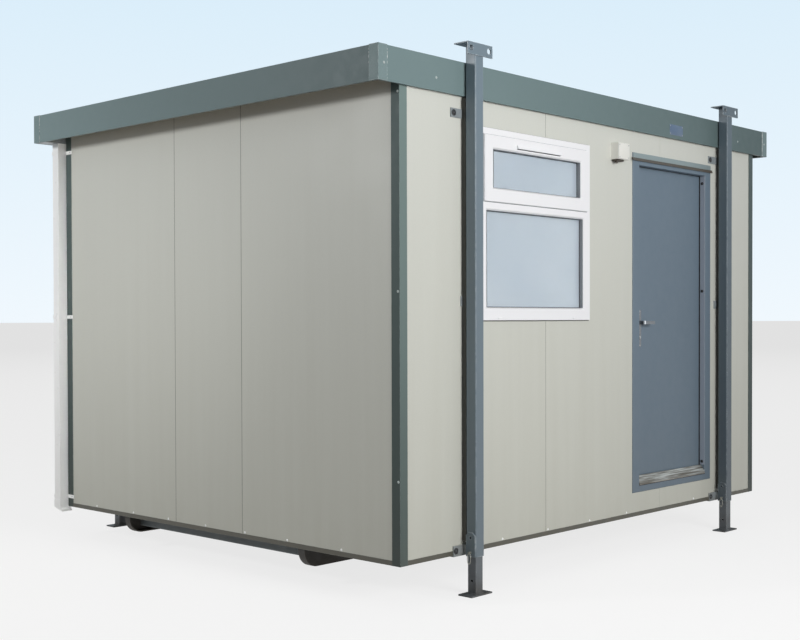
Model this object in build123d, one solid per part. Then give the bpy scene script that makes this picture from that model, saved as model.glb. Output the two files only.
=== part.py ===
from build123d import *
import os

# Portable site cabin on jacking legs: a steel and timber floor on two skids, sandwich panel walls,
# a flat roof behind pressed fascias, one window, one door and four telescopic legs.
# Millimetres. +X runs to the right along the front wall (the wall with the door), +Y goes to the rear,
# +Z is up. The origin is on the ground, at the middle of the four feet.

# ---------------------------------------------------------------- overall sizes
CABIN_LENGTH = 3610.0        # over the corner trims, along X
CABIN_WIDTH = 2955.0         # over the corner trims, along Y
GROUND_CLEARANCE = 205.0     # ground to the underside of the base trim
FASCIA_BOTTOM = 2348.0       # this and the heights below are above the underside of the base trim
FASCIA_DEPTH = 172.0
WALL_TOP = 2420.0

# ---------------------------------------------------------------- walls and trims
PANEL_THICKNESS = 50.0
CORNER_TRIM_GAUGE = 3.0
BASE_TRIM_HEIGHT = 25.0
BASE_TRIM_GAUGE = 2.0
SEAM_GAP = 1.6               # open joint between two panel faces
TONGUE_WIDTH = 16.0
TONGUE_LENGTH = 12.0
TONGUE_FIT = 0.4             # clearance round a tongue in its groove
FRONT_SEAMS = (1193.0, 2393.0)   # panel joints, from the left end
REAR_SEAMS = (1200.0, 2400.0)
END_SEAMS = (1200.0, 1805.0)     # panel joints, from the front
SCORE_DEPTH = 2.0            # depth of a panel joint where the panel itself is not split

# ---------------------------------------------------------------- floor and chassis
FLOOR_TOP = 195.0
DECK_THICKNESS = 18.0
JOIST_WIDTH = 45.0           # joists fill the height from the skids to the deck
JOIST_COUNT = 9
SKID_DROP = 104.0            # skid below the base trim
SKID_WIDTH = 50.0
SKID_WEB = 6.0
SKID_FLANGE = 8.0
SKID_FROM_FRONT = 730.0      # centre line of the front skid, from the front face
SKID_FROM_REAR = 638.0       # centre line of the rear skid, from the rear face
SKID_END_INSET = 15.0        # end of the skid, from the end faces
SKID_NOSE = 90.0             # radius of the sledge-cut nose
END_MEMBER_DROP = 62.0
END_MEMBER_FLANGE = 50.0
END_MEMBER_GAUGE = 5.0
END_MEMBER_INSET = 95.0      # outer face of the end member, from the end faces

# ---------------------------------------------------------------- roof
END_OVERHANG = 165.0
FRONT_OVERHANG = 19.0
REAR_OVERHANG = 107.0
FASCIA_GAUGE = 2.0
FASCIA_TOP_FLANGE = 45.0
FASCIA_LIP = 15.0            # bottom return
CORNER_COVER_WIDTH = 60.0
CORNER_COVER_GAUGE = 2.0
ROOF_FRONT_THICKNESS = 70.0
ROOF_REAR_THICKNESS = 40.0
SHEET_GAUGE = 1.5
SHEET_RIB_PITCH = 250.0
SHEET_RIB_HEIGHT = 22.0
SHEET_RIB_FOOT = 66.0
SHEET_RIB_CROWN = 30.0
SHEET_LAP = 30.0             # roof sheet beyond the deck, over the gutter
GUTTER_GAUGE = 2.0
GUTTER_GAP = 12.0            # rear wall face to gutter
GUTTER_HEIGHT = 70.0
PIPE_SIZE = 65.0
PIPE_WALL = 2.5
PIPE_BEHIND = 6.0            # rear wall face to pipe
PIPE_COVER = 9.0             # how much of the pipe stands behind the wall
SHOE_TOP = 46.0
SHOE_SOCKET = 30.0           # how deep the pipe stands in the shoe
SHOE_KNEE = -5.0             # where the spout starts to lean, under the corner trim
SHOE_HEEL = -4.0             # the mouth slopes from the heel down to the toe
SHOE_TOE = -27.0
SHOE_LIP = 10.0
SHOE_KICK = 22.0
SHOE_WALL = 3.0
CLIP_HEIGHTS = (2290.0, 1230.0, 66.0)
CLIP_WIDTH = 22.0
CLIP_GAUGE = 3.0
CLIP_LUG = 68.0

# ---------------------------------------------------------------- window
WINDOW_FROM_LEFT = 596.0
WINDOW_SILL = 1203.0
WINDOW_WIDTH = 1010.0
WINDOW_HEIGHT = 1010.0
WINDOW_PROUD = 12.0          # frame in front of the wall face
WINDOW_DEPTH = 70.0
WINDOW_FACE = 60.0           # flat face of the frame, and of the sash below
WINDOW_BEVEL = 8.0           # slope from a flat face in to its light
FIXED_LIGHT_TOP = 587.0      # underside of the transom above the window's sill
TRANSOM_FACE = 61.0
SASH_FACE = 66.0
SASH_LAP = 24.0              # sash over the frame
SASH_PROUD = 12.0
SASH_EDGE = 3.0              # slope round the sash's outer edge
SASH_FIT = 3.0               # round the sash in its opening
SASH_BACK = 6.0              # back of the sash in front of the frame's back
GLASS_THICKNESS = 24.0
GLASS_SETBACK = 26.0         # face of the glass behind the face of its frame or sash
GLASS_BITE = 12.0            # glass inside the frame
GLASS_FIT = 0.4
VENT_LENGTH = 400.0
VENT_HEIGHT = 18.0
VENT_PROUD = 12.0
VENT_DROP = 54.0             # lower edge of the vent below the sash's top edge

# ---------------------------------------------------------------- door
DOOR_FROM_LEFT = 2075.0
DOOR_SILL = 145.0
DOOR_FRAME_WIDTH = 942.0
DOOR_FRAME_HEIGHT = 2076.0
FRAME_FACE = 73.0
FRAME_PROUD = 6.0
FRAME_BEVEL = 3.0
FRAME_LAP = 20.0             # frame flange over the wall face
STOP_DEPTH = 36.0            # from the frame's front to the stop
STOP_WIDTH = 17.0            # how far the stop stands out of the rebate
SILL_FACE = 42.0
LEAF_THICKNESS = 44.0
LEAF_CLEARANCE = 7.0
LEAF_FLOOR_GAP = 10.0
LEAF_EDGE = 1.5              # slope on the leaf's upright edges
DRIP_DROP = 49.0             # lower edge of the drip strip below the frame's top
DRIP_HEIGHT = 18.0
DRIP_PROUD = 9.0
DRIP_GAUGE = 2.5
DRIP_OVERSAIL = 12.0
THRESHOLD_RISE = 55.0
THRESHOLD_STEPS = 4
THRESHOLD_NOSE = 2.0         # how far the nose stands out of the frame
THRESHOLD_NOSE_HEIGHT = 8.0
THRESHOLD_FIRST = 14.0       # foot of the first step
THRESHOLD_TREAD = 2.0        # how far each riser leans back
THRESHOLD_LAND = 4.0         # flat land behind the last step
HINGE_FROM_BOTTOM = 180.0    # lowest hinge above the leaf's bottom edge
HINGE_MIDDLE = 1010.0        # middle hinge above the leaf's bottom edge
HINGE_FROM_TOP = 63.0        # highest hinge below the leaf's top edge
HINGE_FROM_JAMB = 2.0        # pivot line from the rebate
HINGE_STAND = 5.0            # knuckle clear of the leaf's back
HINGE_RADIUS = 9.0
HINGE_PIN_RADIUS = 5.0
HINGE_PIN_FIT = 0.15
HINGE_LENGTH = 90.0
HINGE_PLAY = 0.3             # between the two knuckles of a hinge
HINGE_GAUGE = 3.0
HINGE_WING = 40.0            # plate from the pivot line to its far edge
HINGE_WEB = 3.0              # web from the pivot line, so that it clears the other plate
HANDLE_HEIGHT = 1040.0       # spindle above the frame's bottom
HANDLE_BACKSET = 70.0
PLATE_WIDTH = 34.0
PLATE_ABOVE = 80.0           # plate's ends from the spindle
PLATE_BELOW = 150.0
PLATE_THICKNESS = 7.0
PLATE_CORNER = 6.0
LEVER_REACH = 112.0
LEVER_STAND = 44.0           # middle of the lever in front of the leaf
LEVER_THICKNESS = 11.0
LEVER_HEIGHT = 20.0
LEVER_BEND = 16.0
LEVER_CHAMFER = 2.0          # at the tip
COLLAR_RADIUS = 11.0
COLLAR_PROUD = 6.0           # collar in front of its plate
COLLAR_FIT = 0.2

# ---------------------------------------------------------------- junction box
BOX_FROM_LEFT = 1843.0
BOX_WIDTH = 120.0
BOX_BOTTOM = 2156.0
BOX_HEIGHT = 98.0
BOX_DEPTH = 52.0
BOX_CHAMFER = 3.0

# ---------------------------------------------------------------- jacking legs
LEG_FROM_END = 500.0         # leg centre line, from the end faces
LEG_SIZE = 66.0
LEG_GAUGE = 4.0
LEG_CORNER = 7.0
LEG_BOTTOM = -6.0
LEG_TOP = 2610.0             # top of the head angle
INNER_LEG_FIT = 1.0          # round the inner tube in the outer one
INNER_LEG_GAUGE = 4.0
INNER_LEG_CORNER = 3.0
INNER_LEG_LENGTH = 900.0
INNER_LEG_HOLES = 2          # from the hole below the pin upwards
FOOT_LENGTH = 165.0
FOOT_WIDTH = 90.0
FOOT_THICKNESS = 8.0
HEAD_LENGTH = 196.0
HEAD_FLANGE = 93.0
HEAD_DEPTH = 63.0
HEAD_GAUGE = 6.0
LIFTING_HOLE = 30.0
LIFTING_PITCH = 140.0
LIFTING_DROP = 30.0          # hole centre below the leg's top
DOUBLER_WIDTH = 60.0
DOUBLER_HEIGHT = 124.0
DOUBLER_GAUGE = 6.0
DOUBLER_CLIP = 16.0          # cut off each top corner
PIN_SIZE = 13.0
PIN_FIT = 0.5                # round the pin in its holes
PIN_HEIGHT = 15.0
PIN_TAIL = 14.0              # pin beyond the leg on either side
PIN_PITCH = 147.0            # between holes of the inner leg
SPARE_HOLE_HEIGHT = 90.0     # second hole of the doubler
FRONT_STAND_OFF = 30.0       # back of the leg from the wall's panels
REAR_STAND_OFF = 122.0
CHANNEL_GAUGE = 3.0
CHANNEL_SET_IN = 28.0        # left edge of the right-hand channel from its leg's left face
CHANNEL_BOTTOM = 70.0
CHANNEL_TOP_GAP = 8.0        # top of the channel below the fascia
BRACKET_GAUGE = 6.0
TOP_BRACKET_WIDTH = 238.0
TOP_BRACKET_HEIGHT = 47.0
TOP_BRACKET_CENTRE = 2260.0
MID_BRACKET_WIDTH = 82.0
MID_BRACKET_HEIGHT = 52.0
MID_BRACKET_CENTRE = 1302.0
LOW_BRACKET_WIDTH = 212.0
LOW_BRACKET_HEIGHT = 49.0     # stands on the base plane
BRACKET_LIP = 40.0
ARM_WIDTH = 60.0

# ---------------------------------------------------------------- planes that the pieces share
BASE = GROUND_CLEARANCE
LEFT = -CABIN_LENGTH / 2
RIGHT = CABIN_LENGTH / 2
REACH = FRONT_STAND_OFF + REAR_STAND_OFF + LEG_SIZE + CABIN_WIDTH - 2 * CORNER_TRIM_GAUGE
LEG_Y = REACH / 2                                        # leg centre lines in front and behind
FRONT_FACE = -LEG_Y + LEG_SIZE / 2 + FRONT_STAND_OFF     # outer face of the front panels
FRONT = FRONT_FACE - CORNER_TRIM_GAUGE
REAR = FRONT + CABIN_WIDTH
REAR_FACE = REAR - CORNER_TRIM_GAUGE
LEFT_FACE = LEFT + CORNER_TRIM_GAUGE
RIGHT_FACE = RIGHT - CORNER_TRIM_GAUGE
PANEL_BOTTOM = BASE + BASE_TRIM_GAUGE
CORNER_TRIM_LEG = CORNER_TRIM_GAUGE + PANEL_THICKNESS + BASE_TRIM_GAUGE   # up to where the base trims start
PANEL_TOP = BASE + WALL_TOP
FASCIA_TOP = FASCIA_BOTTOM + FASCIA_DEPTH
INNER_LEG_SIZE = LEG_SIZE - 2 * LEG_GAUGE - 2 * INNER_LEG_FIT
PIN_HOLE = PIN_SIZE + 2 * PIN_FIT


# ---------------------------------------------------------------- ways of making a form
def slab(x0, x1, y0, y1, z0, z1):
    """Square block between two corners."""
    return Pos((x0 + x1) / 2, (y0 + y1) / 2, (z0 + z1) / 2) * Box(x1 - x0, y1 - y0, z1 - z0)


def along_x(outline, x0, x1):
    """Section of (y, z) points, drawn from x0 to x1."""
    face = make_face(Polyline(*[(x0, y, z) for y, z in outline], close=True))
    return extrude(face, amount=x1 - x0, dir=(1, 0, 0))


def along_y(outline, y0, y1):
    """Section of (x, z) points, drawn from y0 to y1."""
    face = make_face(Polyline(*[(x, y0, z) for x, z in outline], close=True))
    return extrude(face, amount=y1 - y0, dir=(0, 1, 0))


def along_z(outline, z0, z1):
    """Plan outline of (x, y) points, raised from z0 to z1."""
    face = make_face(Polyline(*[(x, y, z0) for x, y in outline], close=True))
    return extrude(face, amount=z1 - z0, dir=(0, 0, 1))


def inset(rectangle, left, right=None, bottom=None, top=None):
    """A rectangle (x0, x1, z0, z1) moved in on each side, or by one amount all round."""
    right, bottom, top = (left if side is None else side for side in (right, bottom, top))
    return (rectangle[0] + left, rectangle[1] - right, rectangle[2] + bottom, rectangle[3] - top)


def tapered(rectangle, y, amount):
    """Frustum on a rectangle in the wall's plane that narrows by its own depth on every side."""
    middle = ((rectangle[0] + rectangle[1]) / 2, y, (rectangle[2] + rectangle[3]) / 2)
    plane = Plane(origin=middle, x_dir=(1, 0, 0), z_dir=(0, 1 if amount > 0 else -1, 0))
    outline = plane * Rectangle(rectangle[1] - rectangle[0], rectangle[3] - rectangle[2])
    return extrude(outline, amount=abs(amount), taper=45)


def bevelled_block(rectangle, y0, y1, bevel):
    """Block from y0 to y1 whose front edges, at y0, slope back by the bevel."""
    return slab(*rectangle[:2], y0 + bevel, y1, *rectangle[2:]) + tapered(rectangle, y0 + bevel, -bevel)


def bevelled_hole(rectangle, y0, y1, bevel):
    """Opening from y0 to y1 whose sides slope in from the rectangle at y0 by the bevel."""
    narrow = inset(rectangle, bevel)
    return slab(*narrow[:2], y0, y1, *narrow[2:]) + tapered(rectangle, y0, bevel)


def pivot(x, y, z, axis, radius, length):
    """Cylinder centred on a point, along Y or Z or X."""
    turn = {"x": Rot(0, 90, 0), "y": Rot(90, 0, 0), "z": Rot(0, 0, 0)}[axis]
    return Pos(x, y, z) * turn * Cylinder(radius, length)


def save(name, *solids):
    """One STEP file for a node, of one solid or of several that lie apart."""
    shape = solids[0] if len(solids) == 1 else Compound(children=list(solids))
    shape.label = name
    export_step(shape, f"parts/{name}.step")


os.makedirs("parts", exist_ok=True)


# ---------------------------------------------------------------- chassis and floor
def skid(centre_y, web_side):
    """Pressed channel with sledge-cut noses; the web faces outwards and the pocket faces inwards."""
    x0, x1 = LEFT + SKID_END_INSET, RIGHT - SKID_END_INSET
    z0, z1 = BASE - SKID_DROP, BASE
    y0 = centre_y - SKID_WIDTH / 2

    def side(margin):
        left, right, low, high = x0 + margin, x1 - margin, z0 + margin, z1 - margin
        face = make_face(Polyline((left, y0, low), (right, y0, low), (right, y0, high), (left, y0, high),
                                  close=True))
        return fillet(face.vertices().group_by(Axis.Z)[0], SKID_NOSE - margin)

    beam = extrude(side(0), amount=SKID_WIDTH, dir=(0, 1, 0))
    pocket = extrude(side(SKID_FLANGE), amount=SKID_WIDTH, dir=(0, 1, 0))
    return beam - pocket.moved(Location((0, -web_side * SKID_WEB, 0)))


def end_member(outer_x, inward):
    """Channel across each end, between the two skids, with its web outwards."""
    z0, z1 = BASE - END_MEMBER_DROP, BASE
    gauge, flange = END_MEMBER_GAUGE * inward, END_MEMBER_FLANGE * inward
    section = [
        (outer_x, z0), (outer_x + flange, z0), (outer_x + flange, z0 + END_MEMBER_GAUGE),
        (outer_x + gauge, z0 + END_MEMBER_GAUGE), (outer_x + gauge, z1 - END_MEMBER_GAUGE),
        (outer_x + flange, z1 - END_MEMBER_GAUGE), (outer_x + flange, z1), (outer_x, z1),
    ]
    return along_y(section, front_skid + SKID_WIDTH / 2, rear_skid - SKID_WIDTH / 2)


front_skid, rear_skid = FRONT + SKID_FROM_FRONT, REAR - SKID_FROM_REAR
save("skids", skid(front_skid, -1), skid(rear_skid, 1))
save("end_members", end_member(LEFT + END_MEMBER_INSET, 1), end_member(RIGHT - END_MEMBER_INSET, -1))

room = (LEFT_FACE + PANEL_THICKNESS, RIGHT_FACE - PANEL_THICKNESS,
        FRONT_FACE + PANEL_THICKNESS, REAR_FACE - PANEL_THICKNESS)
deck_top = BASE + FLOOR_TOP
deck_bottom = deck_top - DECK_THICKNESS
between = inset(room, BASE_TRIM_GAUGE)                   # inside the base trims
joist_pitch = (between[1] - between[0] - JOIST_WIDTH) / (JOIST_COUNT - 1)
joists = []
for i in range(JOIST_COUNT):
    x = between[0] + i * joist_pitch
    joists.append(slab(x, x + JOIST_WIDTH, between[2], between[3], BASE, deck_bottom))
save("floor_joists", *joists)
save("floor_deck", slab(*room, deck_bottom, deck_top))


# ---------------------------------------------------------------- walls
def panel(place, start, end, start_edge, end_edge, bottom=PANEL_BOTTOM, top=PANEL_TOP):
    """Sandwich panel from start to end along its wall, with butt, tongue or groove edges.

    place turns (distance along the wall, depth behind the outer face) into a plan point."""
    middle = PANEL_THICKNESS / 2

    def edge(position, kind, outwards):
        if kind == "butt":
            return [(position, 0), (position, PANEL_THICKNESS)]
        face = position - outwards * SEAM_GAP / 2
        if kind == "tongue":
            half, tip = TONGUE_WIDTH / 2, face + outwards * TONGUE_LENGTH
        else:
            half = TONGUE_WIDTH / 2 + TONGUE_FIT
            tip = face - outwards * (TONGUE_LENGTH - SEAM_GAP + TONGUE_FIT)
        return [(face, 0), (face, middle - half), (tip, middle - half), (tip, middle + half),
                (face, middle + half), (face, PANEL_THICKNESS)]

    outline = edge(start, start_edge, -1) + edge(end, end_edge, 1)[::-1]
    return along_z([place(along, depth) for along, depth in outline], bottom, top)


def on_front(along, depth):
    return LEFT + along, FRONT_FACE + depth


def on_rear(along, depth):
    return LEFT + along, REAR_FACE - depth


def on_left(along, depth):
    return LEFT_FACE + depth, FRONT + along


def on_right(along, depth):
    return RIGHT_FACE - depth, FRONT + along


window = (LEFT + WINDOW_FROM_LEFT, LEFT + WINDOW_FROM_LEFT + WINDOW_WIDTH,
          BASE + WINDOW_SILL, BASE + WINDOW_SILL + WINDOW_HEIGHT)
door = (LEFT + DOOR_FROM_LEFT, LEFT + DOOR_FROM_LEFT + DOOR_FRAME_WIDTH,
        BASE + DOOR_SILL, BASE + DOOR_SILL + DOOR_FRAME_HEIGHT)
door_hole = inset(door, FRAME_LAP)
front_inner = FRONT_FACE + PANEL_THICKNESS
window_hole = slab(*window[:2], FRONT_FACE, front_inner, *window[2:])
door_start, door_end = door_hole[0] - LEFT, door_hole[1] - LEFT
wall_start, wall_end = CORNER_TRIM_GAUGE, CABIN_LENGTH - CORNER_TRIM_GAUGE
score_x = LEFT + FRONT_SEAMS[1]
score = slab(score_x - SEAM_GAP / 2, score_x + SEAM_GAP / 2, FRONT_FACE, FRONT_FACE + SCORE_DEPTH,
             PANEL_BOTTOM, PANEL_TOP)

save("front_panel_left", panel(on_front, wall_start, FRONT_SEAMS[0], "butt", "tongue") - window_hole)
save("front_panel_middle", panel(on_front, FRONT_SEAMS[0], door_start, "groove", "butt") - window_hole)
save("front_panel_over_door",
     panel(on_front, door_start, door_end, "butt", "butt", bottom=door_hole[3]) - score)
save("front_panel_under_door",
     panel(on_front, door_start, door_end, "butt", "butt", top=door_hole[2]) - score)
save("front_panel_right", panel(on_front, door_end, wall_end, "butt", "butt"))

save("rear_panels",
     panel(on_rear, wall_start, REAR_SEAMS[0], "butt", "tongue"),
     panel(on_rear, REAR_SEAMS[0], REAR_SEAMS[1], "groove", "tongue"),
     panel(on_rear, REAR_SEAMS[1], wall_end, "groove", "butt"))

end_start = CORNER_TRIM_GAUGE + PANEL_THICKNESS
end_end = CABIN_WIDTH - end_start
for side, place in (("left", on_left), ("right", on_right)):
    save(f"{side}_panels",
         panel(place, end_start, END_SEAMS[0], "butt", "tongue"),
         panel(place, END_SEAMS[0], END_SEAMS[1], "groove", "tongue"),
         panel(place, END_SEAMS[1], end_end, "groove", "butt"))


def corner_trim(x, y, inward_x, inward_y):
    """Folded angle over an outer corner of the walls."""
    leg_x, leg_y = CORNER_TRIM_LEG * inward_x, CORNER_TRIM_LEG * inward_y
    gauge_x, gauge_y = CORNER_TRIM_GAUGE * inward_x, CORNER_TRIM_GAUGE * inward_y
    outline = [(x, y), (x + leg_x, y), (x + leg_x, y + gauge_y), (x + gauge_x, y + gauge_y),
               (x + gauge_x, y + leg_y), (x, y + leg_y)]
    return along_z(outline, BASE, PANEL_TOP)


corners = [(LEFT, FRONT, 1, 1), (RIGHT, FRONT, -1, 1), (LEFT, REAR, 1, -1), (RIGHT, REAR, -1, -1)]
save("corner_trims", *[corner_trim(*corner) for corner in corners])

trim_section = [(-BASE_TRIM_GAUGE, 0), (PANEL_THICKNESS + BASE_TRIM_GAUGE, 0),
                (PANEL_THICKNESS + BASE_TRIM_GAUGE, BASE_TRIM_HEIGHT), (PANEL_THICKNESS, BASE_TRIM_HEIGHT),
                (PANEL_THICKNESS, BASE_TRIM_GAUGE), (0, BASE_TRIM_GAUGE), (0, BASE_TRIM_HEIGHT),
                (-BASE_TRIM_GAUGE, BASE_TRIM_HEIGHT)]
along_wall = (LEFT + CORNER_TRIM_LEG, RIGHT - CORNER_TRIM_LEG)
across_end = (FRONT + CORNER_TRIM_LEG, REAR - CORNER_TRIM_LEG)
save("base_trims",
     along_x([(FRONT_FACE + t, BASE + z) for t, z in trim_section], *along_wall),
     along_x([(REAR_FACE - t, BASE + z) for t, z in trim_section], *along_wall),
     along_y([(LEFT_FACE + t, BASE + z) for t, z in trim_section], *across_end),
     along_y([(RIGHT_FACE - t, BASE + z) for t, z in trim_section], *across_end))


# ---------------------------------------------------------------- roof
roof = (LEFT - END_OVERHANG, RIGHT + END_OVERHANG, FRONT - FRONT_OVERHANG, REAR + REAR_OVERHANG)
fascia_low, fascia_high = BASE + FASCIA_BOTTOM, BASE + FASCIA_TOP
deck_rear = REAR_FACE + GUTTER_GAP


# each side's two corners, and the directions in which its strips grow inwards at those corners
fascia_sides = {
    "front": ((roof[0], roof[2]), (roof[1], roof[2]), (1, 1), (-1, 1)),
    "rear": ((roof[0], roof[3]), (roof[1], roof[3]), (1, -1), (-1, -1)),
    "left": ((roof[0], roof[2]), (roof[0], roof[3]), (1, 1), (1, -1)),
    "right": ((roof[1], roof[2]), (roof[1], roof[3]), (-1, 1), (-1, -1)),
}


def mitred(side, near, far, low, high):
    """Strip along a side of the roof, between two depths, with its ends cut to 45 degrees in plan."""
    corner_a, corner_b, inward_a, inward_b = fascia_sides[side]

    def inwards(corner, inward, depth):
        return corner[0] + depth * inward[0], corner[1] + depth * inward[1]

    outline = [inwards(corner_a, inward_a, near), inwards(corner_b, inward_b, near),
               inwards(corner_b, inward_b, far), inwards(corner_a, inward_a, far)]
    return along_z(outline, low, high)


def flange(side, near=FASCIA_GAUGE):
    """Top return of a fascia, from the inner side of its face."""
    return mitred(side, near, FASCIA_TOP_FLANGE, fascia_high - FASCIA_GAUGE, fascia_high)


def lip(side, near=FASCIA_GAUGE):
    """Bottom return of a fascia, from the inner side of its face."""
    return mitred(side, near, FASCIA_LIP, fascia_low, fascia_low + FASCIA_GAUGE)


faces = {side: mitred(side, 0, FASCIA_GAUGE, fascia_low, fascia_high) for side in fascia_sides}
save("fascia_front", faces["front"] + flange("front", 0) + lip("front", 0))
for side in ("left", "right", "rear"):
    save(f"fascia_{side}", faces[side])
save("fascia_end_flanges", flange("left"), flange("right"))
save("fascia_end_lips", lip("left"), lip("right"))
save("fascia_rear_flange", flange("rear"))


def corner_cover(x, y, inward_x, inward_y):
    """Folded cover over a fascia corner, with a lid that turns in over the top."""
    gauge = CORNER_COVER_GAUGE
    outer_x, outer_y = x - gauge * inward_x, y - gauge * inward_y
    wide_x, wide_y = x + CORNER_COVER_WIDTH * inward_x, y + CORNER_COVER_WIDTH * inward_y
    angle = [(outer_x, outer_y), (wide_x, outer_y), (wide_x, y), (x, y), (x, wide_y), (outer_x, wide_y)]
    square = [(outer_x, outer_y), (wide_x, outer_y), (wide_x, wide_y), (outer_x, wide_y)]
    return along_z(angle, fascia_low, fascia_high) + along_z(square, fascia_high, fascia_high + gauge)


save("fascia_corners", *[corner_cover(x, y, ix, iy) for x, y, ix, iy in
                         ((roof[0], roof[2], 1, 1), (roof[1], roof[2], -1, 1),
                          (roof[0], roof[3], 1, -1), (roof[1], roof[3], -1, -1))])

deck_front = roof[2] + FASCIA_GAUGE
deck_left, deck_right = roof[0] + FASCIA_GAUGE, roof[1] - FASCIA_GAUGE
save("roof_deck", along_x([(deck_front, PANEL_TOP), (deck_rear, PANEL_TOP),
                           (deck_rear, PANEL_TOP + ROOF_REAR_THICKNESS),
                           (deck_front, PANEL_TOP + ROOF_FRONT_THICKNESS)], deck_left, deck_right))


def rib_line(left, right, lift):
    """Crest line of the box-profile sheet from left to right: (x, height) points."""
    count = int((right - left - SHEET_RIB_FOOT) // SHEET_RIB_PITCH)
    first = (left + right - count * SHEET_RIB_PITCH) / 2
    points = [(left, lift)]
    for i in range(count + 1):
        centre = first + i * SHEET_RIB_PITCH
        points += [(centre - SHEET_RIB_FOOT / 2, lift),
                   (centre - SHEET_RIB_CROWN / 2, lift + SHEET_RIB_HEIGHT),
                   (centre + SHEET_RIB_CROWN / 2, lift + SHEET_RIB_HEIGHT),
                   (centre + SHEET_RIB_FOOT / 2, lift)]
    return points + [(right, lift)]


sheet_outline = rib_line(deck_left, deck_right, SHEET_GAUGE) + rib_line(deck_left, deck_right, 0)[::-1]
run, fall = deck_rear - deck_front, ROOF_FRONT_THICKNESS - ROOF_REAR_THICKNESS
sheet_end = deck_rear + SHEET_LAP
sheet_drop = fall * (sheet_end - deck_front) / run
front_z = PANEL_TOP + ROOF_FRONT_THICKNESS
sheet_face = make_face(Polyline(*[(x, deck_front, front_z + z) for x, z in sheet_outline], close=True))
save("roof_sheet", extrude(sheet_face, amount=(run + SHEET_LAP) * (1 + (fall / run) ** 2) ** 0.5,
                           dir=(0, sheet_end - deck_front, -sheet_drop)))

gutter_y0, gutter_y1 = deck_rear, roof[3] - FASCIA_GAUGE
gutter_z0 = fascia_low + FASCIA_GAUGE
gutter_z1 = gutter_z0 + GUTTER_HEIGHT
gutter_floor = slab(deck_left, deck_right, gutter_y0, gutter_y1, gutter_z0, gutter_z0 + GUTTER_GAUGE)
save("gutter_walls",
     slab(deck_left, deck_right, gutter_y0, gutter_y0 + GUTTER_GAUGE, gutter_z0 + GUTTER_GAUGE, gutter_z1),
     slab(deck_left, deck_right, gutter_y1 - GUTTER_GAUGE, gutter_y1, gutter_z0 + GUTTER_GAUGE, gutter_z1))
pipe = (LEFT + PIPE_COVER - PIPE_SIZE, LEFT + PIPE_COVER,
        REAR + PIPE_BEHIND, REAR + PIPE_BEHIND + PIPE_SIZE)
outlet = slab(pipe[0] + PIPE_WALL, pipe[1] - PIPE_WALL, max(pipe[2] + PIPE_WALL, gutter_y0 + GUTTER_GAUGE),
              pipe[3] - PIPE_WALL, gutter_z0, gutter_z0 + GUTTER_GAUGE)
save("gutter_floor", gutter_floor - outlet)

pipe_end = BASE + SHOE_TOP - SHOE_SOCKET
save("downpipe", slab(*pipe, pipe_end, gutter_z0) - slab(*inset(pipe, PIPE_WALL), pipe_end, gutter_z0))


def shoe_outline(margin):
    """Side view of the shoe: a socket round the pipe, then a spout that kicks forward."""
    front, back = pipe[2] - SHOE_WALL + margin, pipe[3] + SHOE_WALL - margin
    return [(front, BASE + SHOE_TOP), (back, BASE + SHOE_TOP), (back, BASE + SHOE_HEEL),
            (front - SHOE_KICK, BASE + SHOE_TOE), (front - SHOE_KICK, BASE + SHOE_TOE + SHOE_LIP),
            (front, BASE + SHOE_KNEE)]


shoe = along_x(shoe_outline(0), pipe[0] - SHOE_WALL, pipe[1] + SHOE_WALL)
shoe_bore = along_x(shoe_outline(SHOE_WALL), pipe[0], pipe[1])
save("pipe_shoe", shoe - shoe_bore - shoe_bore.moved(Location((0, 0, -SHOE_LIP))))


def pipe_clip(height):
    """Square strap round the pipe with a lug that turns over the corner trim to the end wall."""
    z0, z1 = BASE + height - CLIP_WIDTH / 2, BASE + height + CLIP_WIDTH / 2
    gauge = CLIP_GAUGE
    strap = (slab(pipe[0] - gauge, pipe[1] + gauge, pipe[2] - gauge, pipe[3] + gauge, z0, z1)
             - slab(*pipe, z0, z1))
    lug = slab(LEFT - gauge, LEFT, REAR - CLIP_LUG, pipe[2], z0, z1)
    return strap + lug


save("pipe_clips", *[pipe_clip(height) for height in CLIP_HEIGHTS])

# ---------------------------------------------------------------- window
window_front = FRONT_FACE - WINDOW_PROUD
window_back = window_front + WINDOW_DEPTH
fixed_light = inset(window, WINDOW_FACE, WINDOW_FACE, WINDOW_FACE, WINDOW_HEIGHT - FIXED_LIGHT_TOP)
top_light = inset(window, WINDOW_FACE, WINDOW_FACE, FIXED_LIGHT_TOP + TRANSOM_FACE, WINDOW_FACE)


def pane(light, front, extra):
    """Sealed unit behind a light, or the groove that holds it: extra is the clearance all round."""
    size = inset(light, WINDOW_BEVEL - GLASS_BITE - extra)
    return slab(*size[:2], front - extra, front + GLASS_THICKNESS + extra, *size[2:])


glass_front = window_front + GLASS_SETBACK
save("window_frame", slab(*window[:2], window_front, window_back, *window[2:])
     - slab(*top_light[:2], window_front, window_back, *top_light[2:])
     - bevelled_hole(fixed_light, window_front, window_back, WINDOW_BEVEL)
     - pane(fixed_light, glass_front, GLASS_FIT))

sash = inset(top_light, -SASH_LAP)
sash_front = window_front - SASH_PROUD
sash_light = inset(sash, SASH_FACE)
sash_glass_front = sash_front + GLASS_SETBACK
tenon = inset(top_light, SASH_FIT)
save("window_opener", bevelled_block(sash, sash_front, window_front, SASH_EDGE)
     + slab(*tenon[:2], window_front, window_back - SASH_BACK, *tenon[2:])
     - bevelled_hole(sash_light, sash_front, window_back, WINDOW_BEVEL)
     - pane(sash_light, sash_glass_front, GLASS_FIT))
save("window_glass", pane(sash_light, sash_glass_front, 0), pane(fixed_light, glass_front, 0))

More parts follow.
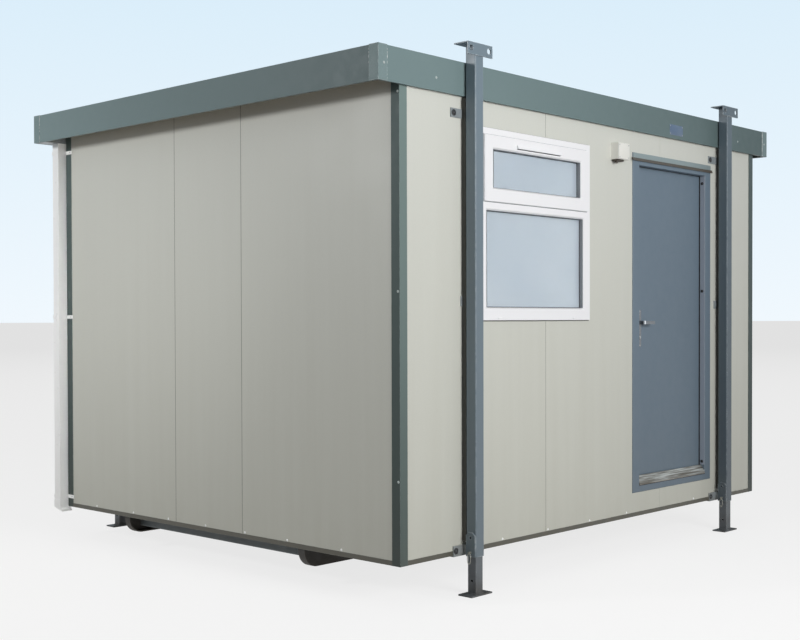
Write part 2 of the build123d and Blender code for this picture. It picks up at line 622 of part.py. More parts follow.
vent_middle, vent_low = (sash[0] + sash[1]) / 2, sash[3] - VENT_DROP
vent = [(sash_front, vent_low + VENT_HEIGHT), (sash_front - VENT_PROUD / 2, vent_low + VENT_HEIGHT),
        (sash_front - VENT_PROUD, vent_low), (sash_front, vent_low)]
save("vent_canopy", along_x(vent, vent_middle - VENT_LENGTH / 2, vent_middle + VENT_LENGTH / 2))

# ---------------------------------------------------------------- door frame
frame_front = FRONT_FACE - FRAME_PROUD
stop_y = frame_front + STOP_DEPTH
leaf_front = stop_y + LEAF_CLEARANCE
leaf_back = leaf_front + LEAF_THICKNESS
clear = inset(door, FRAME_FACE, FRAME_FACE, SILL_FACE, FRAME_FACE)
rebate = inset(clear, -STOP_WIDTH, -STOP_WIDTH, 0, -STOP_WIDTH)
in_room = (*door_hole[:2], deck_top, door_hole[3])
save("door_frame", bevelled_block(door, frame_front, FRONT_FACE, FRAME_BEVEL)
     + slab(*door_hole[:2], FRONT_FACE, front_inner, *door_hole[2:])
     + slab(*in_room[:2], front_inner, leaf_back, *in_room[2:])
     - bevelled_hole(inset(clear, -FRAME_BEVEL), frame_front, stop_y, FRAME_BEVEL)
     - slab(*rebate[:2], stop_y, front_inner, *rebate[2:])
     - slab(*rebate[:2], front_inner, leaf_back, deck_top, rebate[3]))

drip_low, drip_high = door[3] - DRIP_DROP, door[3] - DRIP_DROP + DRIP_HEIGHT
drip = [(frame_front, drip_high), (frame_front - DRIP_GAUGE, drip_high),
        (frame_front - DRIP_PROUD, drip_low + 2 * DRIP_GAUGE), (frame_front - DRIP_PROUD, drip_low),
        (frame_front - DRIP_PROUD + DRIP_GAUGE, drip_low),
        (frame_front - DRIP_PROUD + DRIP_GAUGE, drip_low + DRIP_GAUGE),
        (frame_front, drip_high - 2 * DRIP_GAUGE)]
save("door_drip_strip", along_x(drip, door[0] - DRIP_OVERSAIL, door[1] + DRIP_OVERSAIL))

tread = (STOP_DEPTH - THRESHOLD_LAND) / THRESHOLD_STEPS
riser = (THRESHOLD_RISE - THRESHOLD_FIRST) / THRESHOLD_STEPS
nose_y = frame_front - THRESHOLD_NOSE
threshold = [(stop_y, clear[2]), (nose_y, clear[2]), (nose_y, clear[2] + THRESHOLD_NOSE_HEIGHT)]
for i in range(THRESHOLD_STEPS):
    foot = (frame_front + i * tread, clear[2] + THRESHOLD_FIRST + i * riser)
    threshold += [foot, (foot[0] + THRESHOLD_TREAD, foot[1] + riser)]
threshold.append((stop_y, clear[2] + THRESHOLD_RISE))
save("door_threshold", along_x(threshold, clear[0], clear[1]))

# ---------------------------------------------------------------- door leaf and hinges
leaf = (rebate[0] + LEAF_CLEARANCE, rebate[1] - LEAF_CLEARANCE,
        deck_top + LEAF_FLOOR_GAP, rebate[3] - LEAF_CLEARANCE)
hinge_x = rebate[1] - HINGE_FROM_JAMB
hinge_y = leaf_back + HINGE_STAND + HINGE_RADIUS
spindle_x = leaf[0] + HANDLE_BACKSET
spindle_z = door[2] + HANDLE_HEIGHT
collar_bore = COLLAR_RADIUS + COLLAR_FIT
leaf_body = slab(*leaf[:2], leaf_front, leaf_back, *leaf[2:])
leaf_body = chamfer(leaf_body.edges().filter_by(Axis.Z), LEAF_EDGE)
save("door_leaf", leaf_body
     - pivot(spindle_x, (leaf_front + leaf_back) / 2, spindle_z, "y", collar_bore, LEAF_THICKNESS))


def hinge_half(z0, z1, side):
    """Knuckle with the web and plate that carry it: side is 1 on the frame, -1 on the leaf."""
    near, knuckle_edge = hinge_x + side * HINGE_WEB, hinge_x + side * HINGE_RADIUS
    far = hinge_x + side * HINGE_WING
    return (pivot(hinge_x, hinge_y, (z0 + z1) / 2, "z", HINGE_RADIUS, z1 - z0)
            + slab(*sorted((near, knuckle_edge)), leaf_back, hinge_y, z0, z1)
            + slab(*sorted((near, far)), leaf_back, leaf_back + HINGE_GAUGE, z0, z1))


frame_hinges, leaf_hinges = [], []
for low in (leaf[2] + HINGE_FROM_BOTTOM, leaf[2] + HINGE_MIDDLE, leaf[3] - HINGE_FROM_TOP - HINGE_LENGTH):
    high = low + HINGE_LENGTH
    middle = (low + high) / 2
    frame_hinges.append(hinge_half(low, middle, 1)
                        + pivot(hinge_x, hinge_y, middle, "z", HINGE_PIN_RADIUS, HINGE_LENGTH))
    leaf_hinges.append(hinge_half(middle + HINGE_PLAY, high, -1)
                       - pivot(hinge_x, hinge_y, middle, "z", HINGE_PIN_RADIUS + HINGE_PIN_FIT,
                               2 * HINGE_LENGTH))
save("frame_hinges", *frame_hinges)
save("leaf_hinges", *leaf_hinges)

# ---------------------------------------------------------------- door furniture
plates = []
for y0, y1 in ((leaf_front - PLATE_THICKNESS, leaf_front), (leaf_back, leaf_back + PLATE_THICKNESS)):
    plate = slab(spindle_x - PLATE_WIDTH / 2, spindle_x + PLATE_WIDTH / 2, y0, y1,
                 spindle_z - PLATE_BELOW, spindle_z + PLATE_ABOVE)
    plate = chamfer(plate.edges().filter_by(Axis.Y), PLATE_CORNER)
    plates.append(plate - pivot(spindle_x, (y0 + y1) / 2, spindle_z, "y", collar_bore, PLATE_THICKNESS))
save("handle_plates", *plates)

collar_out = PLATE_THICKNESS + COLLAR_PROUD


def lever(face, outwards):
    """Flat bar that leaves the collar's end, bends through a quarter turn and runs to a straight grip."""
    path = FilletPolyline((spindle_x, face + outwards * (collar_out - COLLAR_PROUD / 2), spindle_z),
                          (spindle_x, face + outwards * LEVER_STAND, spindle_z),
                          (spindle_x + LEVER_REACH, face + outwards * LEVER_STAND, spindle_z),
                          radius=LEVER_BEND)
    bar = extrude(trace(path, LEVER_THICKNESS), amount=LEVER_HEIGHT / 2, both=True, dir=(0, 0, 1))
    return chamfer(bar.edges().filter_by(Axis.Z).group_by(Axis.X)[-1], LEVER_CHAMFER)


collar = pivot(spindle_x, (leaf_front + leaf_back) / 2, spindle_z, "y", COLLAR_RADIUS,
               LEAF_THICKNESS + 2 * collar_out)
save("lever_handle", collar + lever(leaf_front, -1) + lever(leaf_back, 1))

# ---------------------------------------------------------------- junction box
box_x, box_z = LEFT + BOX_FROM_LEFT, BASE + BOX_BOTTOM
box_body = slab(box_x, box_x + BOX_WIDTH, FRONT_FACE - BOX_DEPTH, FRONT_FACE, box_z, box_z + BOX_HEIGHT)
save("junction_box", chamfer(box_body.edges().filter_by(Axis.Y), BOX_CHAMFER))


# ---------------------------------------------------------------- jacking legs
def pin_hole(height, reach):
    """Cross hole along X through a leg, at a height above the underside of the base trim."""
    return pivot(0, 0, BASE + height, "x", PIN_HOLE / 2, reach)


def tube(size, gauge, low, high, soften, corner):
    """Square hollow section; soften is the operation, fillet or chamfer, for its outer corners."""
    half, bore = size / 2, size / 2 - gauge
    outside = slab(-half, half, -half, half, low, high)
    return soften(outside.edges().filter_by(Axis.Z), corner) - slab(-bore, bore, -bore, bore, low, high)


def leg_outer():
    """Square outer tube with its head angle and the doubler plate round the pin holes."""
    half, low, high = LEG_SIZE / 2, BASE + LEG_BOTTOM, BASE + LEG_TOP
    section = [(-half - HEAD_GAUGE, high), (-half - HEAD_GAUGE, high - HEAD_DEPTH),
               (-half, high - HEAD_DEPTH),
               (-half, high - HEAD_GAUGE), (HEAD_FLANGE - half - HEAD_GAUGE, high - HEAD_GAUGE),
               (HEAD_FLANGE - half - HEAD_GAUGE, high)]
    head = along_x(section, -HEAD_LENGTH / 2, HEAD_LENGTH / 2)
    for end in (-1, 1):
        head -= pivot(end * LIFTING_PITCH / 2, -half - HEAD_GAUGE / 2, high - LIFTING_DROP, "y",
                      LIFTING_HOLE / 2, HEAD_GAUGE)
    top, side = low + DOUBLER_HEIGHT, DOUBLER_WIDTH / 2
    outline = [(-half, -side, low), (-half, side, low), (-half, side, top - DOUBLER_CLIP),
               (-half, side - DOUBLER_CLIP, top), (-half, DOUBLER_CLIP - side, top),
               (-half, -side, top - DOUBLER_CLIP)]
    doubler = extrude(make_face(Polyline(*outline, close=True)), amount=DOUBLER_GAUGE, dir=(-1, 0, 0))
    body = tube(LEG_SIZE, LEG_GAUGE, low, high - HEAD_GAUGE, fillet, LEG_CORNER) + head + doubler
    for height in (PIN_HEIGHT, SPARE_HOLE_HEIGHT):
        body -= pin_hole(height, 2 * LEG_SIZE)
    return body


def leg_inner():
    """Sliding inner tube with its row of pin holes and its foot plate."""
    foot = slab(-FOOT_LENGTH / 2, FOOT_LENGTH / 2, -FOOT_WIDTH / 2, FOOT_WIDTH / 2, 0, FOOT_THICKNESS)
    body = foot + tube(INNER_LEG_SIZE, INNER_LEG_GAUGE, FOOT_THICKNESS, INNER_LEG_LENGTH,
                       chamfer, INNER_LEG_CORNER)
    for step in range(INNER_LEG_HOLES):
        body -= pin_hole(PIN_HEIGHT + (step - 1) * PIN_PITCH, 2 * INNER_LEG_SIZE)
    return body


def leg_pin():
    """Round pin through both tubes, standing out on both sides."""
    near, far = -LEG_SIZE / 2 - DOUBLER_GAUGE - PIN_TAIL, LEG_SIZE / 2 + PIN_TAIL
    return pivot((near + far) / 2, 0, BASE + PIN_HEIGHT, "x", PIN_SIZE / 2, far - near)


def front_channel(set_in):
    """Channel between a front leg and the wall, open towards the wall, from the skirt to the fascia."""
    back, deep = LEG_SIZE / 2, LEG_SIZE / 2 + FRONT_STAND_OFF - BRACKET_GAUGE
    left, right = set_in - LEG_SIZE / 2, LEG_SIZE / 2
    outline = [(left, back), (right, back), (right, deep), (right - CHANNEL_GAUGE, deep),
               (right - CHANNEL_GAUGE, back + CHANNEL_GAUGE), (left + CHANNEL_GAUGE, back + CHANNEL_GAUGE),
               (left + CHANNEL_GAUGE, deep), (left, deep)]
    return along_z(outline, BASE + CHANNEL_BOTTOM, BASE + FASCIA_BOTTOM - CHANNEL_TOP_GAP)


def bracket(stand_off, centre, width, height, kind):
    """Plate on the wall; where no channel stands behind the leg, an arm reaches out to it."""
    face = LEG_SIZE / 2 + stand_off - (BASE_TRIM_GAUGE if kind == "bottom" else 0)
    plate_y = face - BRACKET_GAUGE
    z0, z1 = BASE + centre - height / 2, BASE + centre + height / 2
    body = slab(-width / 2, width / 2, plate_y, face, z0, z1)
    if kind == "bottom" or stand_off == REAR_STAND_OFF:
        body += slab(-ARM_WIDTH / 2, ARM_WIDTH / 2, LEG_SIZE / 2, plate_y, z0, z1)
    if kind == "bottom":
        body += slab(-width / 2, width / 2, plate_y, face + BRACKET_LIP, z0 - BRACKET_GAUGE, z0)
    return body


def at_leg(solid, x, y):
    """Carry a piece to its leg; a rear leg is a front leg turned half round."""
    return Pos(x, y, 0) * (Rot(0, 0, 180 if y > 0 else 0) * solid)


leg_x = RIGHT - LEG_FROM_END
places = {"front_left": (-leg_x, -LEG_Y), "front_right": (leg_x, -LEG_Y),
          "rear_left": (-leg_x, LEG_Y), "rear_right": (leg_x, LEG_Y)}
bracket_sizes = ((LOW_BRACKET_HEIGHT / 2, LOW_BRACKET_WIDTH, LOW_BRACKET_HEIGHT, "bottom"),
                 (MID_BRACKET_CENTRE, MID_BRACKET_WIDTH, MID_BRACKET_HEIGHT, "plate"),
                 (TOP_BRACKET_CENTRE, TOP_BRACKET_WIDTH, TOP_BRACKET_HEIGHT, "plate"))
pins, brackets, channels = [], [], []
for name, (x, y) in places.items():
    save(f"leg_outer_{name}", at_leg(leg_outer(), x, y))
    save(f"leg_inner_{name}", at_leg(leg_inner(), x, y))
    pins.append(at_leg(leg_pin(), x, y))
    stand_off = FRONT_STAND_OFF if y < 0 else REAR_STAND_OFF
    brackets += [at_leg(bracket(stand_off, *sizes), x, y) for sizes in bracket_sizes]
    if y < 0:
        channels.append(at_leg(front_channel(0 if x < 0 else CHANNEL_SET_IN), x, y))
save("leg_pins", *pins)
save("leg_brackets", *brackets)
save("leg_channels", *channels)
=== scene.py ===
import bpy
import bmesh
import math
import random
from mathutils import Matrix, Vector


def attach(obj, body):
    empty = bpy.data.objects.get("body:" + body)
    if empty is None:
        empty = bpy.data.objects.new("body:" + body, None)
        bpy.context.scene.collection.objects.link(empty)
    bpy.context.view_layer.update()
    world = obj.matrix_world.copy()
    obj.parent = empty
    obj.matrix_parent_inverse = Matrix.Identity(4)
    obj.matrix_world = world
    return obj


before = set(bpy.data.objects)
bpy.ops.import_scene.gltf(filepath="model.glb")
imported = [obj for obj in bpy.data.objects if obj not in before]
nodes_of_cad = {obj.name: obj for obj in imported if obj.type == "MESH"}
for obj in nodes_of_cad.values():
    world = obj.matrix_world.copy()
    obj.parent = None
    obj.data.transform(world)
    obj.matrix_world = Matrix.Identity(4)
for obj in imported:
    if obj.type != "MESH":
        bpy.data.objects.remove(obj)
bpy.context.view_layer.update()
random.seed(7)


# ---------------------------------------------------------------- camera
# Stands off the front left corner at chest height, looks just under a degree down and leans a little.
# The lens is shifted up a little instead of tilted, so that the uprights stay nearly parallel.
camera_data = bpy.data.cameras.new("camera")
camera_data.lens = 55.58
camera_data.sensor_width = 36.0
camera_data.shift_y = 0.023
camera_data.clip_end = 2000.0
camera = bpy.data.objects.new("camera", camera_data)
bpy.context.collection.objects.link(camera)
camera.location = (-6.188, -5.6245, 1.415)
camera.rotation_euler = (math.radians(89.11), math.radians(0.15), math.radians(-46.92))
bpy.context.scene.camera = camera
bpy.context.scene.view_settings.view_transform = "Standard"


# ---------------------------------------------------------------- sky
# The world lights the object evenly with a soft neutral white. What the camera, metal and glass see
# of it is a pale blue that fades to near white at the horizon.
def colour(red, green, blue):
    """Screen colour in bytes as the linear colour that a socket takes."""
    parts = [value / 255 for value in (red, green, blue)]
    return tuple(v / 12.92 if v <= 0.04045 else ((v + 0.055) / 1.055) ** 2.4 for v in parts) + (1.0,)


def link(tree, *pairs):
    """Join sockets, each pair an output and the input that it feeds."""
    for start, end in pairs:
        tree.links.new(start, end)


def feed(tree, socket, value):
    """Give a socket a number or a colour, or link another node's output to it."""
    if isinstance(value, (int, float, tuple)):
        socket.default_value = value
    else:
        link(tree, (value, socket))


def ramp(tree, value, low, high, to_low=0.0, to_high=1.0):
    """Map a value between low and high evenly on to another pair of levels."""
    node = tree.nodes.new("ShaderNodeMapRange")
    link(tree, (value, node.inputs["Value"]))
    for label, level in (("From Min", low), ("From Max", high), ("To Min", to_low), ("To Max", to_high)):
        node.inputs[label].default_value = level
    return node.outputs["Result"]


def maths(tree, operation, first, second):
    """One operation on two values, each a number or another node's output."""
    node = tree.nodes.new("ShaderNodeMath")
    node.operation = operation
    feed(tree, node.inputs[0], first)
    feed(tree, node.inputs[1], second)
    return node.outputs[0]


def mixed(tree, amount, first, second):
    """Colour that goes from the first to the second as the amount goes from 0 to 1."""
    node = tree.nodes.new("ShaderNodeMix")
    node.data_type = "RGBA"
    for label, value in (("Factor", amount), ("A", first), ("B", second)):
        feed(tree, node.inputs[label], value)
    return node.outputs["Result"]


SKY_LEVEL = 0.27             # strength of the world as a light
SKY_HORIZON = colour(240, 248, 254)
SKY_HIGH = colour(217, 237, 250)
SKY_HIGH_AT = 0.27           # sine of the height above the horizon where the blue is full

world = bpy.data.worlds.new("sky")
bpy.context.scene.world = world
world.use_nodes = True
sky = world.node_tree
sky.nodes.clear()
direction = sky.nodes.new("ShaderNodeTexCoord")
split = sky.nodes.new("ShaderNodeSeparateXYZ")
link(sky, (direction.outputs["Generated"], split.inputs[0]))
blue = mixed(sky, ramp(sky, split.outputs["Z"], 0.0, SKY_HIGH_AT), SKY_HORIZON, SKY_HIGH)
rays = sky.nodes.new("ShaderNodeLightPath")
looking = maths(sky, "MAXIMUM", rays.outputs["Is Camera Ray"], rays.outputs["Is Glossy Ray"])
looking = maths(sky, "MAXIMUM", looking, rays.outputs["Is Transmission Ray"])
seen = sky.nodes.new("ShaderNodeBackground")
lighting = sky.nodes.new("ShaderNodeBackground")
lighting.inputs["Color"].default_value = (1.0, 1.0, 1.0, 1.0)
lighting.inputs["Strength"].default_value = SKY_LEVEL
choose = sky.nodes.new("ShaderNodeMixShader")
sky_out = sky.nodes.new("ShaderNodeOutputWorld")
link(sky, (blue, seen.inputs["Color"]), (looking, choose.inputs["Fac"]),
     (lighting.outputs[0], choose.inputs[1]), (seen.outputs[0], choose.inputs[2]),
     (choose.outputs[0], sky_out.inputs["Surface"]))


# ---------------------------------------------------------------- lamps
# One broad soft lamp in front and above lights the front wall and a smaller one lights the left end. A
# narrow one reaches the rear left corner with its pipe, and one inside by the door head lights the room.
def lamp(name, place, target, size, watts, beam=180.0):
    """Square lamp at a place, turned to a target; beam is the angle in degrees that its light fills."""
    data = bpy.data.lights.new(name, "AREA")
    data.shape = "SQUARE"
    data.size = size
    data.energy = watts
    data.spread = math.radians(beam)
    item = bpy.data.objects.new(name, data)
    bpy.context.collection.objects.link(item)
    item.location = place
    item.rotation_euler = (Vector(target) - Vector(place)).to_track_quat("-Z", "Y").to_euler()


lamp("key", (-1.9, -7.8, 3.1), (-0.6, -1.5, 1.9), size=3.2, watts=325.0)
lamp("rear_corner", (-5.0, -4.0, 2.0), (-1.95, 1.45, 1.4), size=0.6, watts=2.3, beam=30.0)
lamp("room", (0.3, -1.40, 2.25), (0.0, 1.4, 1.3), size=0.5, watts=60.0)
lamp("fill", (-7.2, 2.2, 3.70), (-1.8, 0.3, 1.7), size=0.9, watts=140.0)


# ---------------------------------------------------------------- floor
# Plain pale studio floor that runs to the horizon and keeps the cabin's soft shadow. What the camera
# sees of it is mostly an even white that turns a little grey far away.
FLOOR_NEAR = colour(255, 255, 255)
FLOOR_FAR = colour(244, 244, 244)
FLOOR_HALF = 600.0
FADE_FROM, FADE_TO = 4.0, 60.0          # metres from the cabin over which the floor turns grey
MATT_LIT = colour(150, 150, 150)        # what the light bounces off
MATT_SEEN = colour(236, 236, 236)       # what the camera and reflections see, under the even white
EVEN_SHARE = 0.78                       # share of the even white in what they see

floor_mesh = bpy.data.meshes.new("studio_floor")
flat = bmesh.new()
bmesh.ops.create_grid(flat, x_segments=1, y_segments=1, size=FLOOR_HALF)
flat.to_mesh(floor_mesh)
flat.free()
studio_floor = bpy.data.objects.new("studio_floor", floor_mesh)
bpy.context.collection.objects.link(studio_floor)
floor_material = bpy.data.materials.new("studio_floor")
floor_material.use_nodes = True
tree = floor_material.node_tree
tree.nodes.clear()
where = tree.nodes.new("ShaderNodeTexCoord")
span = tree.nodes.new("ShaderNodeVectorMath")
span.operation = "LENGTH"
link(tree, (where.outputs["Object"], span.inputs[0]))
far = ramp(tree, span.outputs["Value"], FADE_FROM, FADE_TO)
far.node.interpolation_type = "SMOOTHSTEP"
rays = tree.nodes.new("ShaderNodeLightPath")
looking = maths(tree, "MAXIMUM", rays.outputs["Is Camera Ray"], rays.outputs["Is Glossy Ray"])
glow = tree.nodes.new("ShaderNodeEmission")
matt = tree.nodes.new("ShaderNodeBsdfDiffuse")
blend = tree.nodes.new("ShaderNodeMixShader")
floor_out = tree.nodes.new("ShaderNodeOutputMaterial")
link(tree, (mixed(tree, far, FLOOR_NEAR, FLOOR_FAR), glow.inputs["Color"]),
     (mixed(tree, looking, MATT_LIT, MATT_SEEN), matt.inputs["Color"]),
     (maths(tree, "MULTIPLY", looking, EVEN_SHARE), blend.inputs["Fac"]),
     (matt.outputs[0], blend.inputs[1]), (glow.outputs[0], blend.inputs[2]),
     (blend.outputs[0], floor_out.inputs["Surface"]))
floor_mesh.materials.append(floor_material)


# ---------------------------------------------------------------- skids
# Two pressed steel channels that the cabin is dragged on, painted black: dull, grimy and scuffed
# along the flange edges and the noses. The fascias, legs and chassis share the groups made here.
def shared(name, inputs, outputs):
    """Shader group: inputs with their defaults (None for a colour), outputs with their kinds."""
    group = bpy.data.node_groups.new(name, "ShaderNodeTree")
    for label, default in inputs.items():
        kind = "NodeSocketColor" if default is None else "NodeSocketFloat"
        socket = group.interface.new_socket(label, in_out="INPUT", socket_type=kind)
        if default is not None:
            socket.default_value = default
    for label, kind in outputs.items():
        group.interface.new_socket(label, in_out="OUTPUT", socket_type="NodeSocket" + kind)
    return group, group.nodes.new("NodeGroupInput"), group.nodes.new("NodeGroupOutput")


def noise(tree, size, detail=2.0, stretch=None):
    """Noise in the object's own metres; size is a blotch's, stretch squeezes it axis by axis."""
    place = tree.nodes.new("ShaderNodeTexCoord")
    texture = tree.nodes.new("ShaderNodeTexNoise")
    texture.inputs["Detail"].default_value = detail
    texture.inputs["Scale"].default_value = 1.0 / size
    where = place.outputs["Object"]
    if stretch:
        squeeze = tree.nodes.new("ShaderNodeVectorMath")
        squeeze.operation = "MULTIPLY"
        squeeze.inputs[1].default_value = stretch
        link(tree, (where, squeeze.inputs[0]))
        where = squeeze.outputs[0]
    link(tree, (where, texture.inputs["Vector"]))
    return texture.outputs["Fac"]


# uneven tone: broad blotches and a fine speckle that lighten and darken a colour
tone, given, made = shared("uneven_tone", {"Colour": None, "Blotch": 0.06, "Speckle": 0.04},
                           {"Result": "Color"})
broad = maths(tone, "SUBTRACT", noise(tone, 0.9, 3.0), 0.5)
fine = maths(tone, "SUBTRACT", noise(tone, 0.006, 1.0), 0.5)
swing = maths(tone, "ADD", maths(tone, "MULTIPLY", broad, given.outputs["Blotch"]),
              maths(tone, "MULTIPLY", fine, given.outputs["Speckle"]))
level = maths(tone, "ADD", swing, 1.0)
scale_colour = tone.nodes.new("ShaderNodeVectorMath")
scale_colour.operation = "SCALE"
link(tone, (given.outputs["Colour"], scale_colour.inputs[0]), (level, scale_colour.inputs["Scale"]),
     (scale_colour.outputs[0], made.inputs["Result"]))

# dirt low down: splashes and grime that thin out with height above the ground
splash, given, made = shared("low_dirt", {"Colour": None, "Dirt": None, "Clean above": 0.8, "Amount": 0.4},
                             {"Result": "Color", "Dirtiness": "Float"})
place = splash.nodes.new("ShaderNodeTexCoord")
levels = splash.nodes.new("ShaderNodeSeparateXYZ")
link(splash, (place.outputs["Object"], levels.inputs[0]))
lowness = splash.nodes.new("ShaderNodeMapRange")
lowness.inputs["From Min"].default_value = 0.0
lowness.inputs["To Min"].default_value = 1.0
lowness.inputs["To Max"].default_value = 0.0
link(splash, (levels.outputs["Z"], lowness.inputs["Value"]),
     (given.outputs["Clean above"], lowness.inputs["From Max"]))
patchy = ramp(splash, noise(splash, 0.11, 6.0), 0.36, 0.66, 0.25, 1.0)
grime = maths(splash, "MULTIPLY", maths(splash, "MULTIPLY", maths(splash, "POWER", lowness.outputs[0], 1.6),
                                        patchy), given.outputs["Amount"])
link(splash, (mixed(splash, grime, given.outputs["Colour"], given.outputs["Dirt"]), made.inputs["Result"]),
     (grime, made.inputs["Dirtiness"]))

# wear on edges: a rounded normal differs from the true one near an edge, and there the paint is rubbed and
# paler, which also paints the highlight of a rounded edge
wear_and_highlight, given, made = shared("edge_wear_and_highlight", {"Colour": None, "Bare": None, "Width": 0.002, "Amount": 0.5},
                           {"Result": "Color", "Worn_and_lit": "Float"})
rounded = wear_and_highlight.nodes.new("ShaderNodeBevel")
rounded.samples = 4
true_normal = wear_and_highlight.nodes.new("ShaderNodeNewGeometry")
facing = wear_and_highlight.nodes.new("ShaderNodeVectorMath")
facing.operation = "DOT_PRODUCT"
link(wear_and_highlight, (given.outputs["Width"], rounded.inputs["Radius"]), (rounded.outputs[0], facing.inputs[0]),
     (true_normal.outputs["Normal"], facing.inputs[1]))
edge = ramp(wear_and_highlight, facing.outputs["Value"], 0.995, 0.90)
rubbed_and_lit = maths(wear_and_highlight, "MULTIPLY", maths(wear_and_highlight, "MULTIPLY", edge, ramp(wear_and_highlight, noise(wear_and_highlight, 0.03, 5.0), 0.35, 0.6)),
               given.outputs["Amount"])
link(wear_and_highlight, (mixed(wear_and_highlight, rubbed_and_lit, given.outputs["Colour"], given.outputs["Bare"]), made.inputs["Result"]),
     (rubbed_and_lit, made.inputs["Worn_and_lit"]))

# fine surface relief, such as paint's orange peel or a cast skin
relief, given, made = shared("fine_relief", {"Size": 0.004, "Strength": 0.1}, {"Normal": "Vector"})
place = relief.nodes.new("ShaderNodeTexCoord")
lumps = relief.nodes.new("ShaderNodeTexNoise")
lumps.inputs["Detail"].default_value = 2.0
bump = relief.nodes.new("ShaderNodeBump")
bump.inputs["Distance"].default_value = 0.001
link(relief, (place.outputs["Object"], lumps.inputs["Vector"]),
     (maths(relief, "DIVIDE", 1.0, given.outputs["Size"]), lumps.inputs["Scale"]),
     (given.outputs["Strength"], bump.inputs["Strength"]), (lumps.outputs["Fac"], bump.inputs["Height"]),
     (bump.outputs[0], made.inputs["Normal"]))

# weathering: a dull film that thickens evenly towards the ground, with faint runs in it; on the walls and the
# corner trims this darkening is painted shade
film_and_low_shade, given, made = shared("weathering_and_low_shade", {"Colour": None, "Film": None, "Top": 2.6, "Amount": 0.5},
                              {"Result": "Color"})
place = film_and_low_shade.nodes.new("ShaderNodeTexCoord")
levels = film_and_low_shade.nodes.new("ShaderNodeSeparateXYZ")
link(film_and_low_shade, (place.outputs["Object"], levels.inputs[0]))
depth = maths(film_and_low_shade, "SUBTRACT", 1.0, maths(film_and_low_shade, "DIVIDE", levels.outputs["Z"], given.outputs["Top"]))
runs = ramp(film_and_low_shade, noise(film_and_low_shade, 0.07, 3.0, (1.0, 1.0, 0.05)), 0.3, 0.7, 0.82, 1.0)
film = maths(film_and_low_shade, "MULTIPLY", maths(film_and_low_shade, "MULTIPLY", maths(film_and_low_shade, "MAXIMUM", depth, 0.0), runs),
             given.outputs["Amount"])
link(film_and_low_shade, (mixed(film_and_low_shade, film, given.outputs["Colour"], given.outputs["Film"]), made.inputs["Result"]))


def material(name, metallic, roughness, **sockets):
    """Principled material; plain numbers go straight on the shader's own sockets."""
    item = bpy.data.materials.new(name)
    item.use_nodes = True
    shader = item.node_tree.nodes["Principled BSDF"]
    shader.inputs["Metallic"].default_value = metallic
    shader.inputs["Roughness"].default_value = roughness
    for label, value in sockets.items():
        shader.inputs[label.replace("_", " ")].default_value = value
    return item, item.node_tree, shader


def use(tree, group, **values):
    """Group node in a material: a value may be a number, a colour or another node's output."""
    node = tree.nodes.new("ShaderNodeGroup")
    node.node_tree = group
    for label, value in values.items():
        feed(tree, node.inputs[label.replace("_", " ")], value)
    return node


GLOSS_SWING = 0.07           # how far the roughness of paint strays either way


def painted(name, paint, roughness, bare=None, dirt=None, clean_above=0.8, dirt_amount=0.4, blotch=0.06,
            speckle=0.04, wear_width=0.003, wear_amount=0.6, peel=0.004, peel_strength=0.12, metallic=0.0,
            film=None, film_amount=0.5, shade_along=None, **sockets):
    """Painted or moulded surface: uneven tone, grime low down, worn edges that also paint highlight, fine
    relief, uneven gloss.
    A second colour that the paint turns to over an axis is painted shade: colour, axis, and where that starts
    and ends."""
    item, tree, shader = material(name, metallic, roughness, **sockets)
    if shade_along:
        place = tree.nodes.new("ShaderNodeTexCoord")
        across = tree.nodes.new("ShaderNodeSeparateXYZ")
        link(tree, (place.outputs["Object"], across.inputs[0]))
        second, axis, start, end = shade_along
        paint = mixed(tree, ramp(tree, across.outputs[axis], start, end), paint, second)
    colour_now = use(tree, tone, Colour=paint, Blotch=blotch, Speckle=speckle).outputs["Result"]
    if film:
        colour_now = use(tree, film_and_low_shade, Colour=colour_now, Film=film, Amount=film_amount).outputs["Result"]
    dull = noise(tree, 0.05, 4.0)
    rough = ramp(tree, dull, 0.3, 0.7, roughness - GLOSS_SWING, roughness + GLOSS_SWING)
    if bare:
        edge_rub_and_light = use(tree, wear_and_highlight, Colour=colour_now, Bare=bare, Width=wear_width, Amount=wear_amount)
        colour_now = edge_rub_and_light.outputs["Result"]
        rough = maths(tree, "SUBTRACT", rough, maths(tree, "MULTIPLY", edge_rub_and_light.outputs["Worn_and_lit"], 0.1))
    if dirt:
        soil = use(tree, splash, Colour=colour_now, Dirt=dirt, Clean_above=clean_above, Amount=dirt_amount)
        colour_now = soil.outputs["Result"]
        rough = maths(tree, "ADD", rough, maths(tree, "MULTIPLY", soil.outputs["Dirtiness"], 0.3))
    link(tree, (colour_now, shader.inputs["Base Color"]), (rough, shader.inputs["Roughness"]),
         (use(tree, relief, Size=peel, Strength=peel_strength).outputs["Normal"], shader.inputs["Normal"]))
    return item


def dress(surface, *names):
    """Give CAD nodes a material in every slot they have."""
    for name in names:
        for place in nodes_of_cad[name].material_slots:
            place.material = surface


MUD = colour(112, 101, 84)
skid_black = painted("skid_black", colour(44, 41, 37), 0.62, bare=colour(96, 84, 74), dirt=MUD,
                     clean_above=0.22, dirt_amount=0.55, blotch=0.35, speckle=0.2, wear_width=0.004,
                     peel=0.006, peel_strength=0.35)
dress(skid_black, "skids")


# ---------------------------------------------------------------- end members, joists and deck
# Grey painted channels tie the skids at both ends, softwood joists stand on them and carry a ply deck
# covered with grey sheet vinyl. The timber shows its long grain.
chassis_grey = painted("chassis_grey", colour(96, 104, 106), 0.5, bare=colour(132, 124, 114), dirt=MUD,
                       clean_above=0.3, dirt_amount=0.4, blotch=0.2, speckle=0.1)
dress(chassis_grey, "end_members")
TIMBER_ROUGHNESS = 0.75


